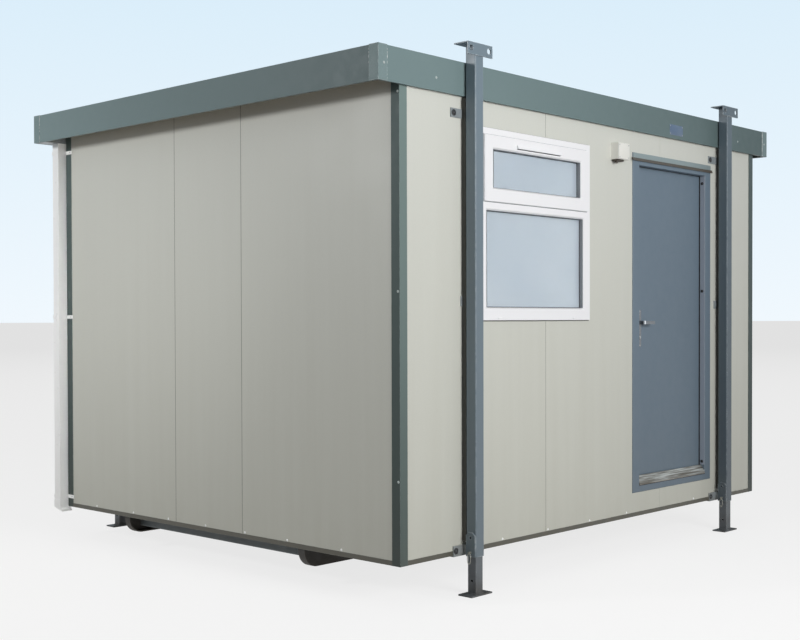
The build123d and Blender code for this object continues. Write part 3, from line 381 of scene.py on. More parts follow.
def timber(name, pale, dark, grain_along):
    """Sawn timber; grain_along stretches the noise along the board."""
    item, tree, shader = material(name, 0.0, TIMBER_ROUGHNESS)
    rings = ramp(tree, noise(tree, 0.02, 5.0, grain_along), 0.35, 0.65)
    board = mixed(tree, rings, pale, dark)
    soiled = use(tree, splash, Colour=board, Dirt=MUD, Clean_above=0.4, Amount=0.35)
    link(tree, (soiled.outputs["Result"], shader.inputs["Base Color"]),
         (ramp(tree, rings, 0.0, 1.0, TIMBER_ROUGHNESS - 0.1, TIMBER_ROUGHNESS + 0.1),
          shader.inputs["Roughness"]),
         (use(tree, relief, Size=0.003, Strength=0.3).outputs["Normal"], shader.inputs["Normal"]))
    return item


joist_wood = timber("joist_wood", colour(196, 164, 118), colour(150, 114, 74), (1.0, 0.05, 1.0))
dress(joist_wood, "floor_joists")
floor_vinyl = painted("floor_vinyl", colour(128, 132, 134), 0.42, blotch=0.08, speckle=0.5, peel=0.003,
                      peel_strength=0.2)
dress(floor_vinyl, "floor_deck")


# ---------------------------------------------------------------- base trims
# Pressed galvanised channel in a dark paint that dirt has dulled; the panels stand in it and it is
# riveted to them through its upstand.
TRIM_BARE_AND_HIGHLIGHT = colour(168, 176, 172)
low_trim = painted("low_trim", colour(80, 79, 70), 0.42, bare=TRIM_BARE_AND_HIGHLIGHT, dirt=MUD, clean_above=0.5,
                   dirt_amount=0.5, blotch=0.12, speckle=0.08)
dress(low_trim, "base_trims")


# ---------------------------------------------------------------- wall panels
# Foam-cored panels faced with off-white plastic-coated steel, joined by tongue and groove. The coating has
# a faint leathery grain and slight long waves, and it turns a little darker towards the ground as painted
# shade.
wall_white, tree, shader = material("wall_white", 0.0, 0.46)
coat = use(tree, tone, Colour=colour(213, 214, 206), Blotch=0.03, Speckle=0.05).outputs["Result"]
streaks = ramp(tree, noise(tree, 0.09, 3.0, (1.0, 1.0, 0.04)), 0.5, 0.85, 0.0, 0.05)
rained = mixed(tree, streaks, coat, colour(176, 172, 158))
# painted shade: the film darkens the walls towards the ground
low_painted_shade = use(tree, film_and_low_shade, Colour=rained, Film=colour(150, 146, 124), Top=2.7, Amount=0.36).outputs["Result"]
soiled = use(tree, splash, Colour=low_painted_shade, Dirt=colour(160, 152, 132), Clean_above=0.7, Amount=0.12)
waves = tree.nodes.new("ShaderNodeBump")
waves.inputs["Distance"].default_value = 0.02
waves.inputs["Strength"].default_value = 0.12
link(tree, (soiled.outputs["Result"], shader.inputs["Base Color"]),
     (ramp(tree, noise(tree, 0.3, 2.0), 0.3, 0.7, 0.42, 0.52), shader.inputs["Roughness"]),
     (noise(tree, 0.55, 1.0), waves.inputs["Height"]),
     (use(tree, relief, Size=0.0022, Strength=0.16).outputs["Normal"], waves.inputs["Normal"]),
     (waves.outputs[0], shader.inputs["Normal"]))
dress(wall_white, "front_panel_left", "front_panel_middle", "front_panel_over_door",
      "front_panel_under_door", "front_panel_right", "rear_panels", "left_panels", "right_panels")


# ---------------------------------------------------------------- rivets along the base
# White-headed pop rivets hold the base trim's upstand and the panels' lower edges, about 0.4 m apart.
# Each is a low dome with a small dimple.
SMOOTH_UNDER = math.radians(35.0)       # edges that turn by less are shaded smooth
WELD_WITHIN = 1e-5


def piece(name, mesh, surface, body="cabin"):
    """Finish a bmesh as an object of its own that rides on a body."""
    bmesh.ops.remove_doubles(mesh, verts=mesh.verts, dist=WELD_WITHIN)
    bmesh.ops.recalc_face_normals(mesh, faces=mesh.faces)
    data = bpy.data.meshes.new(name)
    mesh.to_mesh(data)
    mesh.free()
    item = bpy.data.objects.new(name, data)
    bpy.context.collection.objects.link(item)
    data.materials.append(surface)
    for face in data.polygons:
        face.use_smooth = True
    data.set_sharp_from_angle(angle=SMOOTH_UNDER)
    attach(item, body)
    return item


def turned(mesh, profile, at, axis, steps=12):
    """Add a turned form: (radius, height) points spun round an axis through a place."""
    axis, at = Vector(axis).normalized(), Vector(at)
    side = axis.orthogonal().normalized()
    points = [mesh.verts.new(at + side * radius + axis * rise) for radius, rise in profile]
    edges = [mesh.edges.new(pair) for pair in zip(points, points[1:])]
    bmesh.ops.spin(mesh, geom=points + edges, cent=at, axis=axis, angle=math.tau, steps=steps,
                   use_merge=True)


RIVET = [(0.0, 0.0010), (0.0014, 0.0012), (0.0026, 0.0027), (0.0050, 0.0021), (0.0068, 0.0008),
         (0.0070, 0.0)]
RIVET_LEVEL = 0.238
FRONT_WALL, REAR_WALL, LEFT_WALL, RIGHT_WALL = -1.5205, 1.4285, -1.802, 1.802
FRONT_ROW = (-1.0, -0.592, -0.185, 0.207, 1.005)
REAR_ROW = (-1.6, -1.0, -0.6, -0.2, 0.2, 0.6, 1.0, 1.6)
END_ROW = (-1.109, -0.695, -0.345, 0.004, 0.357, 0.711, 1.107)
white_cap = painted("white_cap", colour(252, 252, 250), 0.35, blotch=0.1, speckle=0.05)
rivets = bmesh.new()
for x in FRONT_ROW:
    turned(rivets, RIVET, (x, FRONT_WALL, RIVET_LEVEL), (0, -1, 0))
for x in REAR_ROW:
    turned(rivets, RIVET, (x, REAR_WALL, RIVET_LEVEL), (0, 1, 0))
for y in END_ROW:
    for x, outwards in ((LEFT_WALL, -1), (RIGHT_WALL, 1)):
        turned(rivets, RIVET, (x, y, RIVET_LEVEL), (outwards, 0, 0))
piece("base_rivets", rivets, white_cap)


# ---------------------------------------------------------------- mastic and painted shade in the panel joints
# Dark mastic fills each joint between the panels and stands a fifth of a millimetre proud, so that it
# shows as a thin dark line, and its darkness is painted shade of the joint's groove. The line over and under
# the door has none.
def block(mesh, low, high, bevel, segments=2):
    """Add a bar between two corners with its edges rounded."""
    middle = [(a + b) / 2 for a, b in zip(low, high)]
    size = [b - a for a, b in zip(low, high)]
    made = bmesh.ops.create_cube(mesh, size=1.0,
                                 matrix=Matrix.Translation(middle) @ Matrix.Diagonal((*size, 1.0)))
    edges = list({edge for point in made["verts"] for edge in point.link_edges})
    bmesh.ops.bevel(mesh, geom=edges, offset=bevel, segments=segments, profile=0.5, affect="EDGES",
                    material=-1)


PANEL_FOOT, PANEL_HEAD = 0.231, 2.6
WINDOW_FOOT, WINDOW_HEAD = 1.402, 2.424
FRONT_SEAM = -0.6120
REAR_SEAMS = (-0.605, 0.595)
END_SEAMS = (-0.3235, 0.2815)
THIN, THICK = 0.0011, 0.0015            # half the bead's width on the long walls and on the ends
PROUD, SUNK = 0.0002, 0.0018            # how far it stands out of the wall and reaches into it
BEAD_EDGE = 0.0003
# painted shade: the dark beads stand for the shade in the joints' grooves
joint_shade_black = painted("joint_shade_black", colour(58, 56, 50), 0.8, blotch=0.3, speckle=0.2, peel=0.002,
                     peel_strength=0.4)
shade_tapes = bmesh.new()
for low, high in ((PANEL_FOOT, WINDOW_FOOT), (WINDOW_HEAD, PANEL_HEAD)):
    block(shade_tapes, (FRONT_SEAM - THIN, FRONT_WALL - PROUD, low),
          (FRONT_SEAM + THIN, FRONT_WALL + SUNK, high), BEAD_EDGE, 1)
for x in REAR_SEAMS:
    block(shade_tapes, (x - THIN, REAR_WALL - SUNK, PANEL_FOOT), (x + THIN, REAR_WALL + PROUD, PANEL_HEAD),
          BEAD_EDGE, 1)
for y in END_SEAMS:
    for x, outwards in ((LEFT_WALL, -1), (RIGHT_WALL, 1)):
        low_x, high_x = sorted((x - outwards * SUNK, x + outwards * PROUD))
        block(shade_tapes, (low_x, y - THICK, PANEL_FOOT), (high_x, y + THICK, PANEL_HEAD), BEAD_EDGE, 1)
piece("joint_shade_tapes", shade_tapes, joint_shade_black)


# ---------------------------------------------------------------- corner trims
# Folded grey-green steel angles over the four outer corners. Their legs on the end walls are darker than
# those on the front and rear and the two right-hand trims are darker too, both as painted shade, and all
# of them darken towards the ground as a painted reflection of the dark ground.
TRIM_GREEN, TRIM_GREEN_SHADED = colour(121, 139, 136), colour(66, 76, 76)
END_SIDE_SHADE = colour(78, 92, 91)
END_SHADE_SPAN = (1.8040, 1.8046)              # distance from the middle over which the end legs' painted shade sets in
RIGHT_HAND = (1.70, 1.75)               # X over which the right-hand trims' painted shade sets in
corner_paint, tree, shader = material("corner_paint", 0.0, 0.5, Specular_IOR_Level=0.2)
across = tree.nodes.new("ShaderNodeSeparateXYZ")
place = tree.nodes.new("ShaderNodeTexCoord")
link(tree, (place.outputs["Object"], across.inputs[0]))
# painted shade: the end legs turn to a darker film and the right-hand trims to a darker paint
on_end = ramp(tree, maths(tree, "ABSOLUTE", across.outputs["X"], 0.0), *END_SHADE_SPAN, 0.0, 0.85)
darker = ramp(tree, across.outputs["X"], *RIGHT_HAND, 0.0, 0.75)
right_shaded = mixed(tree, darker, TRIM_GREEN, TRIM_GREEN_SHADED)
fresh = use(tree, tone, Colour=right_shaded, Blotch=0.10, Speckle=0.05).outputs["Result"]
# painted reflection of the dark ground: the film darkens the trims towards the ground
low_painted_shade = use(tree, film_and_low_shade, Colour=mixed(tree, on_end, fresh, END_SIDE_SHADE), Film=colour(56, 60, 56), Amount=0.78)
trim_rubbed_and_lit = use(tree, wear_and_highlight, Colour=low_painted_shade.outputs["Result"], Bare=TRIM_BARE_AND_HIGHLIGHT, Width=0.003, Amount=0.4)
soiled = use(tree, splash, Colour=trim_rubbed_and_lit.outputs["Result"], Dirt=MUD, Clean_above=0.6, Amount=0.25)
link(tree, (soiled.outputs["Result"], shader.inputs["Base Color"]),
     (ramp(tree, noise(tree, 0.05, 4.0), 0.3, 0.7, 0.42, 0.56), shader.inputs["Roughness"]),
     (use(tree, relief, Size=0.004, Strength=0.12).outputs["Normal"], shader.inputs["Normal"]))
dress(corner_paint, "corner_trims")


# ---------------------------------------------------------------- roof
# Ply deck under galvanised box-profile sheet, which falls to a gutter behind the rear fascia. A white
# board lines the ceiling under the deck.
galvanised, tree, shader = material("galvanised", 0.75, 0.42)
spangle = tree.nodes.new("ShaderNodeTexVoronoi")
spangle.inputs["Scale"].default_value = 60.0
place = tree.nodes.new("ShaderNodeTexCoord")
link(tree, (place.outputs["Object"], spangle.inputs["Vector"]))
flecks = mixed(tree, ramp(tree, spangle.outputs["Distance"], 0.0, 0.9), colour(178, 184, 186),
               colour(148, 154, 158))
link(tree, (use(tree, tone, Colour=flecks, Blotch=0.12, Speckle=0.08).outputs["Result"],
            shader.inputs["Base Color"]),
     (ramp(tree, noise(tree, 0.2, 4.0), 0.3, 0.7, 0.34, 0.52), shader.inputs["Roughness"]),
     (use(tree, relief, Size=0.01, Strength=0.12).outputs["Normal"], shader.inputs["Normal"]))
dress(galvanised, "roof_sheet", "gutter_floor", "gutter_walls")
ply = timber("ply", colour(190, 164, 124), colour(162, 132, 92), (0.1, 1.0, 1.0))
dress(ply, "roof_deck")
ceiling_white = painted("ceiling_white", colour(226, 228, 228), 0.6, blotch=0.03, speckle=0.04)
ceiling = bmesh.new()
block(ceiling, (-1.748, -1.466, 2.6140), (1.748, 1.374, 2.6235), 0.0015)
piece("ceiling_board", ceiling, ceiling_white)


# ---------------------------------------------------------------- fascias and their corner covers
# Folded grey-green steel round the roof. The end runs are a darker copy of the paint, as painted shade.
# The front and rear runs darken towards the right-hand end and the end runs towards the front, also as
# painted shade. The covers over the mitres are a paler sheet with more rubbed edges, partly painted
# highlight.
FASCIA = {"roughness": 0.46, "blotch": 0.14, "peel": 0.006, "Specular_IOR_Level": 0.2}
FASCIA_EDGE = {"bare": colour(150, 164, 164), "speckle": 0.05, "wear_amount": 0.35, "peel_strength": 0.1}
# painted shade: the paint darkens towards the right-hand end
fascia_paint = painted("fascia_paint", colour(118, 137, 138), shade_along=(colour(90, 106, 106), "X", -1.6, 2.0),
                       **FASCIA_EDGE, **FASCIA)
dress(fascia_paint, "fascia_front", "fascia_rear", "fascia_rear_flange")
# painted shade: a darker copy of the fascia paint, darkest at the front
end_fascia_shaded = painted("end_fascia_shaded", colour(102, 117, 118), shade_along=(colour(124, 142, 143), "Y", -1.5, 1.5),
                     **FASCIA_EDGE, **FASCIA)
dress(end_fascia_shaded, "fascia_left", "fascia_right", "fascia_end_flanges", "fascia_end_lips")
cover_paint = painted("cover_paint", colour(124, 142, 143), bare=colour(196, 204, 204), speckle=0.25,
                      wear_width=0.005, wear_amount=0.6, peel_strength=0.2, **FASCIA)
dress(cover_paint, "fascia_corners")


# ---------------------------------------------------------------- sealant and rivets of the roof edge
# Pale sealant squeezed out along the covers, in a bead of uneven thickness, and pale dull rivets
# through the covers, the front fascia and the front corner trims.
COVER_FOOT, COVER_TOP = 2.5540, 2.7250
BEAD_FROM, BEAD_STEP, BEAD_STEPS = 2.5545, 0.0068, 26
BEAD_LEAST, BEAD_MOST = 0.0014, 0.0042      # radius of the bead
EDGE_ON_RUN, EDGE_ON_END = 1.9092, 1.9677   # X of a cover's edges on the long run and on the end run
COVER_REACH = 0.0597                        # how far a cover reaches round on the end run
FRONT_COVER, REAR_COVER = 1.5410, 1.5370    # distance of the beads from the middle
sealant_grey = painted("sealant_grey", colour(214, 218, 216), 0.6, blotch=0.2, speckle=0.3, peel=0.003,
                       peel_strength=0.5)
beads = bmesh.new()
for side_x in (-1, 1):
    for side_y, edge_y in ((-1, FRONT_COVER), (1, REAR_COVER)):
        ripple = [(random.uniform(BEAD_LEAST, BEAD_MOST), BEAD_FROM + BEAD_STEP * step)
                  for step in range(BEAD_STEPS)]
        closed = [(0.0, COVER_FOOT)] + ripple + [(0.0, COVER_TOP)]
        turned(beads, closed, (side_x * EDGE_ON_RUN, side_y * edge_y, 0.0), (0, 0, 1), 8)
        turned(beads, closed, (side_x * EDGE_ON_END, side_y * (edge_y - COVER_REACH), 0.0), (0, 0, 1), 8)
piece("cover_sealant", beads, sealant_grey)
FASCIA_FACE, COVER_FACE = -1.5425, -1.5445
roof_rivets = bmesh.new()
for x, z, face in ((1.932, 2.638, COVER_FACE), (1.553, 2.619, FASCIA_FACE)):
    turned(roof_rivets, RIVET, (-x, face, z), (0, -1, 0))
    turned(roof_rivets, RIVET, (x, face, z), (0, -1, 0))
TRIM_FACE = 1.805
for side in (-1, 1):
    for z in (0.62, 1.55, 2.522):
        turned(roof_rivets, RIVET, (side * TRIM_FACE, -1.5125, z), (side, 0, 0))
dull_cap = painted("dull_cap", colour(186, 196, 194), 0.4, blotch=0.1, speckle=0.05)
piece("edge_rivets", roof_rivets, dull_cap)


# ---------------------------------------------------------------- blank plate on the front fascia
# Thin blue enamelled plate with rounded edges, flat on the front fascia over the door. It is left plain
# and held by four small screws.
PLATE_LEFT, PLATE_RIGHT, PLATE_FOOT, PLATE_HEAD, PLATE_FACE = 0.668, 0.827, 2.575, 2.640, -1.5437
plate_blue = painted("plate_blue", colour(88, 108, 134), 0.34, bare=colour(170, 180, 190), blotch=0.1,
                     speckle=0.1)
plate = bmesh.new()
block(plate, (PLATE_LEFT, PLATE_FACE, PLATE_FOOT), (PLATE_RIGHT, FASCIA_FACE, PLATE_HEAD), 0.0005)
piece("blank_plate", plate, plate_blue)
SCREW = [(0.0, 0.0008), (0.0010, 0.0008), (0.0014, 0.0018), (0.0030, 0.0014), (0.0038, 0.0004),
         (0.0038, 0.0)]
SCREW_IN = 0.008                        # from the plate's edges
screw_steel = painted("screw_steel", colour(176, 178, 178), 0.35, metallic=0.8, blotch=0.1)
screws = bmesh.new()
for x in (PLATE_LEFT + SCREW_IN, PLATE_RIGHT - SCREW_IN):
    for z in (PLATE_FOOT + SCREW_IN, PLATE_HEAD - SCREW_IN):
        turned(screws, SCREW, (x, PLATE_FACE, z), (0, -1, 0), 8)
piece("plate_screws", screws, screw_steel)


# ---------------------------------------------------------------- roof screws
# Hexagon-headed screws with rubber-backed washers, four in every other crown of the roof sheet. They
# follow the sheet's fall to the rear.
ROOF_SCREW = [(0.0, 0.0065), (0.0044, 0.0065), (0.0048, 0.0058), (0.0048, 0.0024), (0.0082, 0.0020),
              (0.0086, 0.0)]
FIRST_CROWN, CROWN_PITCH, CROWNS = -1.875, 0.25, 16
CROWN_LEVEL, ROOF_FALL, SHEET_FRONT = 2.7184, 0.01006, -1.5405
roof_screws = bmesh.new()
for rib in range(0, CROWNS, 2):
    for y in (-1.3, -0.5, 0.35, 1.2):
        turned(roof_screws, ROOF_SCREW, (FIRST_CROWN + CROWN_PITCH * rib, y,
                                         CROWN_LEVEL - ROOF_FALL * (y - SHEET_FRONT)), (0, 0, 1), 6)
piece("roof_screws", roof_screws, screw_steel)


# ---------------------------------------------------------------- window
# White plastic frame with a fixed light below and a top-hung light above. The plastic has a soft sheen
# and hardly any grain; the panes are a half-clear milky pale blue, and the milky paleness is painted light
# that stands for the bright room seen through them.
upvc = painted("upvc", colour(244, 244, 246), 0.45, dirt=colour(206, 204, 198), clean_above=1.45,
               dirt_amount=0.05, blotch=0.01, speckle=0.01, peel=0.002, peel_strength=0.03,
               Specular_IOR_Level=0.2)
dress(upvc, "window_frame", "window_opener", "vent_canopy")
pane_glass, tree, shader = material("pane_glass", 0.0, 0.04, Transmission_Weight=0.45, IOR=1.5)
# painted light: the pale milky base colour stands for the bright room seen through the panes
link(tree, (mixed(tree, ramp(tree, noise(tree, 0.6, 2.0), 0.3, 0.7), colour(226, 236, 246),
                  colour(216, 228, 240)), shader.inputs["Base Color"]))
dress(pane_glass, "window_glass")


# ---------------------------------------------------------------- window seals
# Grey rubber lines the openings round both panes, a grey sheet that is painted shade in their reveals; a
# black gasket grips each pane, and a thin grey seal shows round the opening light. A dark mastic bead beds
# the frame on the wall, thickest under its foot, where it is also painted shade under the frame. Two drain
# caps sit in the frame's foot, and a black line is the slot in the vent.
def frame_strip(mesh, left, right, bottom, top, width, back, front):
    """Add a rectangular strip that lies in the wall's plane: a face inset, opened and drawn forwards."""
    stand_up = (Matrix.Translation(((left + right) / 2, back, (bottom + top) / 2))
                @ Matrix.Rotation(math.pi / 2, 4, "X")
                @ Matrix.Diagonal(((right - left) / 2, (top - bottom) / 2, 1.0, 1.0)))
    sheet = bmesh.ops.create_grid(mesh, x_segments=1, y_segments=1, size=1.0, matrix=stand_up)
    face = sheet["verts"][0].link_faces[0]
    rim = bmesh.ops.inset_region(mesh, faces=[face], thickness=width, use_boundary=True,
                                 use_even_offset=True)["faces"]
    bmesh.ops.delete(mesh, geom=[face], context="FACES_ONLY")
    drawn = bmesh.ops.extrude_face_region(mesh, geom=rim)
    points = [item for item in drawn["geom"] if isinstance(item, bmesh.types.BMVert)]
    bmesh.ops.translate(mesh, verts=points, vec=(0, front - back, 0))


# each pane: left, right, bottom and top of its opening, and the pane's front face
PANES = ((-1.141, -0.267, 1.476, 1.987, -1.5065), (-1.099, -0.309, 2.106, 2.308, -1.5185))
LINER, LINER_DEPTH, GASKET = 0.0015, 0.0240, 0.0025
grey_rubber_and_reveal_shade = painted("grey_rubber_and_reveal_shade", colour(150, 154, 158), 0.7, blotch=0.15, speckle=0.1, peel=0.002)
rubber_black = painted("rubber_black", colour(30, 30, 30), 0.6, blotch=0.2, speckle=0.1, peel=0.002)
# painted shade: the grey liners darken the reveals round the panes
reveal_shade_and_seal, gaskets = bmesh.new(), bmesh.new()
for left, right, bottom, top, pane in PANES:
    frame_strip(reveal_shade_and_seal, left, right, bottom, top, LINER, pane, pane - LINER_DEPTH)
    frame_strip(gaskets, left + LINER, right - LINER, bottom + LINER, top - LINER, GASKET,
                pane, pane - GASKET)
frame_strip(reveal_shade_and_seal, -1.1760, -0.2320, 2.0290, 2.3850, 0.0030, -1.5325, -1.5345)
piece("window_reveal_shade_and_seal", reveal_shade_and_seal, grey_rubber_and_reveal_shade)
piece("pane_gaskets", gaskets, rubber_black)
mastic_and_shadow = painted("mastic_and_shadow", colour(104, 104, 98), 0.7, blotch=0.3, speckle=0.2, peel=0.003,
                 peel_strength=0.5)
bedding_and_shadow = bmesh.new()
# painted shade: the thick dark bead under the foot partly stands for the frame's shadow
block(bedding_and_shadow, (-1.209, -1.5260, 1.4025), (-0.199, FRONT_WALL, 1.4080), 0.0020)
block(bedding_and_shadow, (-1.209, -1.5245, 2.4180), (-0.199, FRONT_WALL, 2.4215), 0.0012)
for left, right in ((-1.2115, -1.2090), (-0.1990, -0.1965)):
    block(bedding_and_shadow, (left, -1.5240, 1.4030), (right, FRONT_WALL, 2.4210), 0.0010)
piece("window_bedding_and_shadow", bedding_and_shadow, mastic_and_shadow)
DRAIN_HALF = 0.015
caps = bmesh.new()
for x in (-1.037, -0.354):
    block(caps, (x - DRAIN_HALF, -1.5365, 1.4150), (x + DRAIN_HALF, -1.5325, 1.4235), 0.0016)
piece("drain_caps", caps, upvc)
slot_line = bmesh.new()
block(slot_line, (-0.898, -1.5470, 2.3245), (-0.510, -1.5445, 2.3278), 0.0008, 1)
piece("vent_slot", slot_line, rubber_black)


# ---------------------------------------------------------------- door
# Blue-grey painted steel leaf in a frame of the same paint, between a brown drip strip and a stepped
# aluminium threshold; the strip's dark brown is partly painted shade of the line under it. The hinges,
# the handle plates and the lever are bare metal.
# The pale rubbed edges of the leaf and frame are partly painted highlight.
door_paint = painted("door_paint", colour(109, 125, 139), 0.42, bare=colour(150, 160, 166),
                     film=colour(84, 92, 96), film_amount=0.35, Specular_IOR_Level=0.3,
                     dirt=colour(122, 120, 112), clean_above=0.8, dirt_amount=0.3, blotch=0.08, speckle=0.05,
                     wear_width=0.002, wear_amount=0.4, peel=0.003, peel_strength=0.14)
dress(door_paint, "door_leaf", "door_frame")
# partly painted shade: the strip's dark brown copies the shadow line under it
drip_and_shadow_brown = painted("drip_and_shadow_brown", colour(80, 72, 62), 0.5, bare=colour(120, 116, 108), blotch=0.2,
                     speckle=0.1)
dress(drip_and_shadow_brown, "door_drip_strip")
mill_aluminium, tree, shader = material("mill_aluminium", 0.85, 0.4)
drawn = ramp(tree, noise(tree, 0.010, 4.0, (0.04, 1.0, 1.0)), 0.38, 0.62)
tread = mixed(tree, drawn, colour(196, 194, 188), colour(112, 106, 98))
trodden = use(tree, splash, Colour=tread, Dirt=MUD, Clean_above=0.9, Amount=0.5)
link(tree, (trodden.outputs["Result"], shader.inputs["Base Color"]),
     (ramp(tree, drawn, 0.0, 1.0, 0.32, 0.48), shader.inputs["Roughness"]))
dress(mill_aluminium, "door_threshold")
hinge_steel = painted("hinge_steel", colour(150, 152, 152), 0.35, metallic=0.7, bare=colour(190, 190, 188))
dress(hinge_steel, "frame_hinges", "leaf_hinges")
satin, tree, shader = material("satin_handle", 0.9, 0.3)
brushed = ramp(tree, noise(tree, 0.003, 3.0, (1.0, 1.0, 0.08)), 0.35, 0.65)
link(tree, (mixed(tree, brushed, colour(150, 152, 154), colour(112, 114, 118)), shader.inputs["Base Color"]),
     (ramp(tree, brushed, 0.0, 1.0, 0.24, 0.38), shader.inputs["Roughness"]))
dress(satin, "lever_handle", "handle_plates")


# ---------------------------------------------------------------- door fittings
# A flashing covers the head above the drip strip, a black seal runs round the stop and another closes
# the sill. The far jamb is lined with a paler strip, painted light on the shaded reveal, with three domed
# plastic caps over its fixings. The lock sits under the lever, and two screws hold each handle plate.
FRAME_FACE, LIGHT_STRIP_FACE = -1.5266, 1.1380
flashing_paint = painted("flashing_paint", colour(140, 154, 156), 0.45, bare=TRIM_BARE_AND_HIGHLIGHT, blotch=0.1,
                         speckle=0.05)
flashing = bmesh.new()
block(flashing, (0.2705, -1.5280, 2.3955), (1.2115, FRAME_FACE, 2.4255), 0.0005)
piece("head_flashing", flashing, flashing_paint)
seal = bmesh.new()
frame_strip(seal, 0.3350, 1.1470, 0.4120, 2.3610, 0.0110, -1.4842, -1.4903)
piece("door_seal", seal, rubber_black)
# painted light: a paler strip that lightens the shaded jamb reveal
jamb_painted_light = painted("jamb_painted_light", colour(150, 158, 170), 0.42, bare=TRIM_BARE_AND_HIGHLIGHT, blotch=0.08, speckle=0.05)
light_strip = bmesh.new()
block(light_strip, (LIGHT_STRIP_FACE, -1.5255, 0.4485), (1.1389, -1.4915, 2.3520), 0.0003, 1)
piece("jamb_light_strip", light_strip, jamb_painted_light)
sill_line = bmesh.new()
block(sill_line, (0.3430, -1.5292, 0.3885), (1.1390, FRAME_FACE, 0.3925), 0.0008, 1)
piece("sill_seal", sill_line, rubber_black)
CAP = [(0.0, 0.0052), (0.0040, 0.0047), (0.0078, 0.0030), (0.0098, 0.0010), (0.0105, 0.0)]
jamb_caps = bmesh.new()
for z in (0.47, 1.595, 2.304):
    turned(jamb_caps, CAP, (LIGHT_STRIP_FACE, -1.506, z), (-1, 0, 0), 16)
piece("jamb_caps", jamb_caps, rubber_black)
LOCK = [(0.0, 0.0030), (0.0012, 0.0030), (0.0016, 0.0046), (0.0076, 0.0046), (0.0084, 0.0038),
        (0.0086, 0.0)]
HANDLE_LINE, OUTER_PLATE, INNER_PLATE = 0.403, -1.4905, -1.4325
locks = bmesh.new()
turned(locks, LOCK, (HANDLE_LINE, OUTER_PLATE, 1.300), (0, -1, 0), 16)
for z in (1.250, 1.460):
    turned(locks, SCREW, (HANDLE_LINE, OUTER_PLATE, z), (0, -1, 0), 10)
    turned(locks, SCREW, (HANDLE_LINE, INNER_PLATE, z), (0, 1, 0), 10)
piece("lock_and_screws", locks, screw_steel, body="door")


# ---------------------------------------------------------------- junction box
# Grey-white moulded plastic box on the wall beside the door head, with a lid on a grey seal and four
# screws. A brown cable gland hangs from a dark brown pad under it, and the pad is partly painted shadow
# of the box.
LID_LEFT, LID_RIGHT, LID_FOOT, LID_HEAD, LID_FACE = 0.0410, 0.1550, 2.3640, 2.4560, -1.5752
LID_BACK, BOX_FRONT, SEAL_OUT, LID_SCREW_IN = -1.5731, -1.5725, 0.0005, 0.009
box_plastic = painted("box_plastic", colour(234, 233, 226), 0.5, blotch=0.05, speckle=0.05, peel=0.002)
dress(box_plastic, "junction_box")
box_lid = bmesh.new()
block(box_lid, (LID_LEFT, LID_FACE, LID_FOOT), (LID_RIGHT, LID_BACK, LID_HEAD), 0.0009)
piece("box_lid", box_lid, box_plastic)
lid_line = bmesh.new()
frame_strip(lid_line, LID_LEFT - SEAL_OUT, LID_RIGHT + SEAL_OUT, LID_FOOT - SEAL_OUT,
            LID_HEAD + SEAL_OUT, 0.0030, BOX_FRONT, LID_BACK)
piece("box_lid_seal", lid_line, grey_rubber_and_reveal_shade)
lid_screws = bmesh.new()
for x in (LID_LEFT + LID_SCREW_IN, LID_RIGHT - LID_SCREW_IN):
    for z in (LID_FOOT + LID_SCREW_IN, LID_HEAD - LID_SCREW_IN):
        turned(lid_screws, SCREW, (x, LID_FACE, z), (0, -1, 0), 8)
piece("box_screws", lid_screws, screw_steel)
GLAND = [(0.0, -0.012), (0.0062, -0.012), (0.0082, -0.010), (0.0082, -0.003), (0.0098, -0.003),
         (0.0098, 0.0)]
PAD_FOOT = 2.3500
gland = bmesh.new()
block(gland, (0.0420, -1.5640, PAD_FOOT), (0.1120, -1.5260, 2.3609), 0.0022)
turned(gland, GLAND, (0.060, -1.545, PAD_FOOT), (0, 0, 1))
# partly painted shadow: the dark pad under the box
gland_and_shadow_brown = painted("gland_and_shadow_brown", colour(62, 54, 46), 0.6, blotch=0.2, speckle=0.1)
piece("box_gland", gland, gland_and_shadow_brown)


# ---------------------------------------------------------------- jacking legs
# Square steel tubes in blue-grey paint with pinned inner tubes, on brackets bolted through the walls.
# The front right tube has a darker copy of the paint as painted shade, and the tubes' wide pale rubbed
# edges are partly painted highlight. The inner tubes, the brackets and the channels behind the front
# legs are each in a paint of their own.
# The wide pale rubbed edges are partly painted highlight of the rounded corners.
LEG_WEAR_AND_HIGHLIGHT = {"dirt": MUD, "clean_above": 0.35, "dirt_amount": 0.3, "blotch": 0.12, "speckle": 0.06,
            "wear_width": 0.006, "wear_amount": 0.75, "peel": 0.005, "peel_strength": 0.16}
leg_paint = painted("leg_paint", colour(112, 127, 137), 0.36, bare=colour(202, 209, 212),
                    film=colour(78, 84, 88), film_amount=0.45, **LEG_WEAR_AND_HIGHLIGHT)
dress(leg_paint, "leg_outer_front_left", "leg_outer_rear_left", "leg_outer_rear_right")
